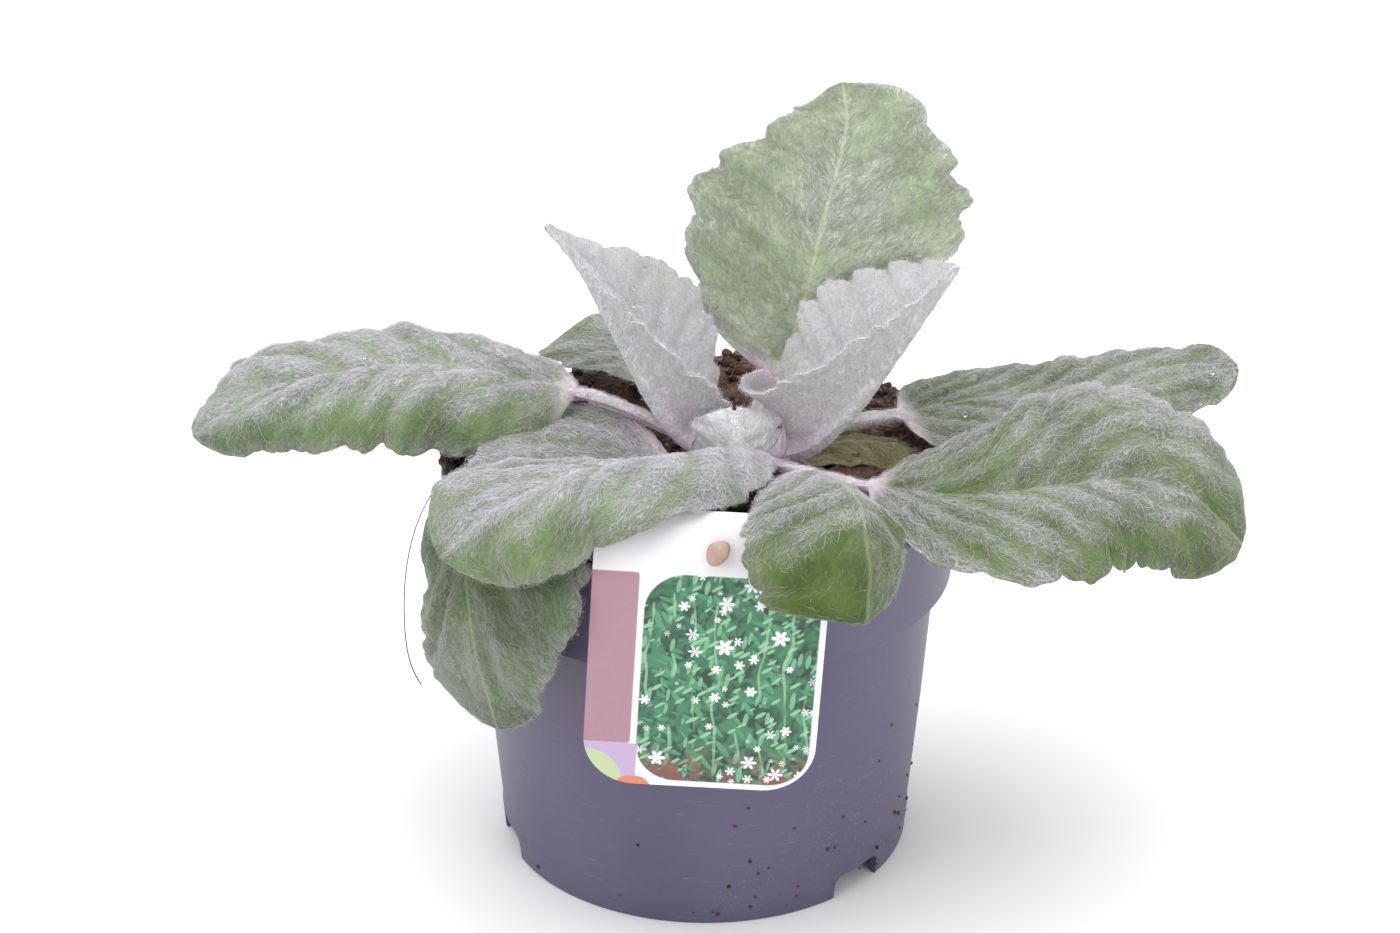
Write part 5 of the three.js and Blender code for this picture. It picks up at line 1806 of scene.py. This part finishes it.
def lean_into_label(piece):
    pin_way = Vector((0, -math.cos(PEG_SLOPE), math.sin(PEG_SLOPE)))
    pick_up(piece)
    piece.matrix_world = (
        Matrix.Translation(Vector((PEG_X, peg_seat, PEG_HEIGHT)) * MM)
        @ Matrix.Translation(pin_way * PEG_STAND_OFF * MM)
        @ Matrix.Rotation(math.pi / 2 - PEG_SLOPE, 4, "X")
    )
    settle(piece)


peg_outline = [
    (0, -42), (0.5, -41.9), (0.8, -41.4), (1.2, -39.5), (1.6, -37), (1.6, -3), (1.9, -2),
    (3.2, -1.1), (3.9, -0.7), (4.15, -0.3), (4.15, 0.1), (3.9, 0.5), (3.3, 0.7), (0, 0.8),
]
peg = turned_piece("peg_pin", peg_outline, steps=48)
places = places_of(peg)
in_head = places[:, 2] > PEG_HEAD_FROM * MM
turn_round = np.arctan2(places[:, 1], places[:, 0])
point = np.maximum(np.cos(turn_round - PEG_POINT_WAY), 0) ** 4
shoulder = np.maximum(np.cos(turn_round - PEG_SHOULDER_WAY), 0) ** 5
drawn = np.where(in_head, 0.84 + 0.30 * point + 0.22 * shoulder, 1)
places[:, :2] *= drawn[:, None]
move_to(peg, places)
lean_into_label(peg)
smooth(peg, 50)
peg_finish = new_finish("peg_tan_plastic")
cloudy = noise(peg_finish, here(peg_finish, (1, 1, 0.5)), 260, detail=3)
peg_share = between(peg_finish, cloudy, 0.35, 0.65)
set_shader(
    peg_finish,
    Base_Color=blend(peg_finish, peg_share, tint("a98a7e"), tint("bb9d90")),
    Roughness=0.5,
    Normal=raised(peg_finish, cloudy, 0.15, 0.0004),
)
put_all_down()
bpy.ops.mesh.primitive_cylinder_add(
    vertices=32, radius=PUNCH_RADIUS * MM, depth=PUNCH_LENGTH * MM,
)
punch = newly_added("punch")
lean_into_label(punch)
apply_modifier(tag, "BOOLEAN", operation="DIFFERENCE", object=punch, solver="EXACT")
throw_away(punch)
smooth(tag, 40)
finish_piece(tag, tag_finish, "tag_plastic", "tag")
finish_piece(peg, peg_finish, "peg_tan", "tag_peg")

# %% [markdown]
# ## Last small things
# A few water drops sit in the wool, most of them on the upright leaves, and one stray
# root thread hangs over the rim at the left. A drop is a flattened ball that the hairs
# carry just off the leaf, and the thread is a smooth curve made round. They are what an
# eye finds on a second look.

# %% Water drops
DROPS = (
    ("leaf_back", 0.62, -0.30, 0.9), ("leaf_back", 0.60, -0.24, 0.7),
    ("leaf_back", 0.52, -0.16, 1.0), ("leaf_back", 0.40, -0.52, 0.5),
    ("leaf_inner_left", 0.62, 0.30, 1.0), ("leaf_inner_left", 0.52, 0.42, 0.9),
    ("leaf_inner_left", 0.56, 0.62, 0.8), ("leaf_inner_left", 0.40, 0.55, 0.6),
    ("leaf_right_back", 0.17, 0.42, 0.9), ("leaf_right_back", 0.93, 0.25, 0.7),
    ("leaf_left", 0.52, 0.2, 0.7),
)
DROP_FLATNESS, DROP_SEAT = 0.72, 0.9
put_all_down()
bpy.ops.mesh.primitive_uv_sphere_add(segments=20, ring_count=12, radius=1)
drop = newly_added("drop_model")
bpy.ops.object.mode_set(mode="EDIT")
bpy.ops.mesh.quads_convert_to_tris()
bpy.ops.transform.resize(value=(1, 1, DROP_FLATNESS))
bpy.ops.object.mode_set(mode="OBJECT")
drop_model = arrays_of(drop)
throw_away(drop)
spots, turns = [], []
for name, blade_share, reach, radius in DROPS:
    skin = upper_skins[name]
    row = int(np.argmin(np.abs(skin["blade"][:, 0] - blade_share)))
    column = round((skin["blade"].shape[1] - 1) / 2 * (1 + reach))
    normal = skin["normal"][row, column]
    spots.append(skin["places"][row, column] + normal * DROP_SEAT * radius * MM)
    turns.append(np.array(Vector(normal).to_track_quat("Z", "Y").to_matrix()))
drops = strewn("water_drops", drop_model, spots, [d[3] * MM for d in DROPS], np.array(turns))
smooth(drops, 60)
water = new_finish("water")
ripple = noise(water, here(water), 900)
set_shader(water, Base_Color=tint("ffffff"), Transmission_Weight=1.0, IOR=1.33, Roughness=0.02,
           Normal=raised(water, ripple, 0.02, 0.0002))
finish_piece(drops, water, "leaf_wool")

# %% Stray root thread
THREAD = (
    (-78, -6, 138), (-86, -12, 142), (-93, -24, 139), (-98, -38, 130),
    (-100, -50, 116), (-99, -60, 104), (-97, -66, 96), (-93, -70, 92),
)
THREAD_RADIUS = 0.2
put_all_down()
bpy.ops.curve.primitive_nurbs_path_add()
thread = bpy.context.object
thread.name = "stray_root_thread"
path = thread.data.splines[0]
path.points.add(len(THREAD) - len(path.points))
for point, spot in zip(path.points, THREAD):
    point.co = (*[c * MM for c in spot], 1)
path.use_endpoint_u = True
thread.data.bevel_depth = THREAD_RADIUS * MM
thread.data.bevel_resolution = 1
thread.data.use_fill_caps = True
pick_up(thread)
bpy.ops.object.convert(target="MESH")
thread = bpy.context.object
settle(thread)
smooth(thread, 80)
finish_piece(thread, soil_finish, "soil_peat")

# %% [markdown]
# ## Measure
# The triangles that the dressed pieces add to the frame are counted. The dressed model
# has to stay inside the frame's box, apart from the nap of its wool.

# %% Triangles added
added = sum(
    triangles_in(piece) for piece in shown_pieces()
    if piece.type == "MESH" and piece.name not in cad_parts
)
print("triangles added:", added)
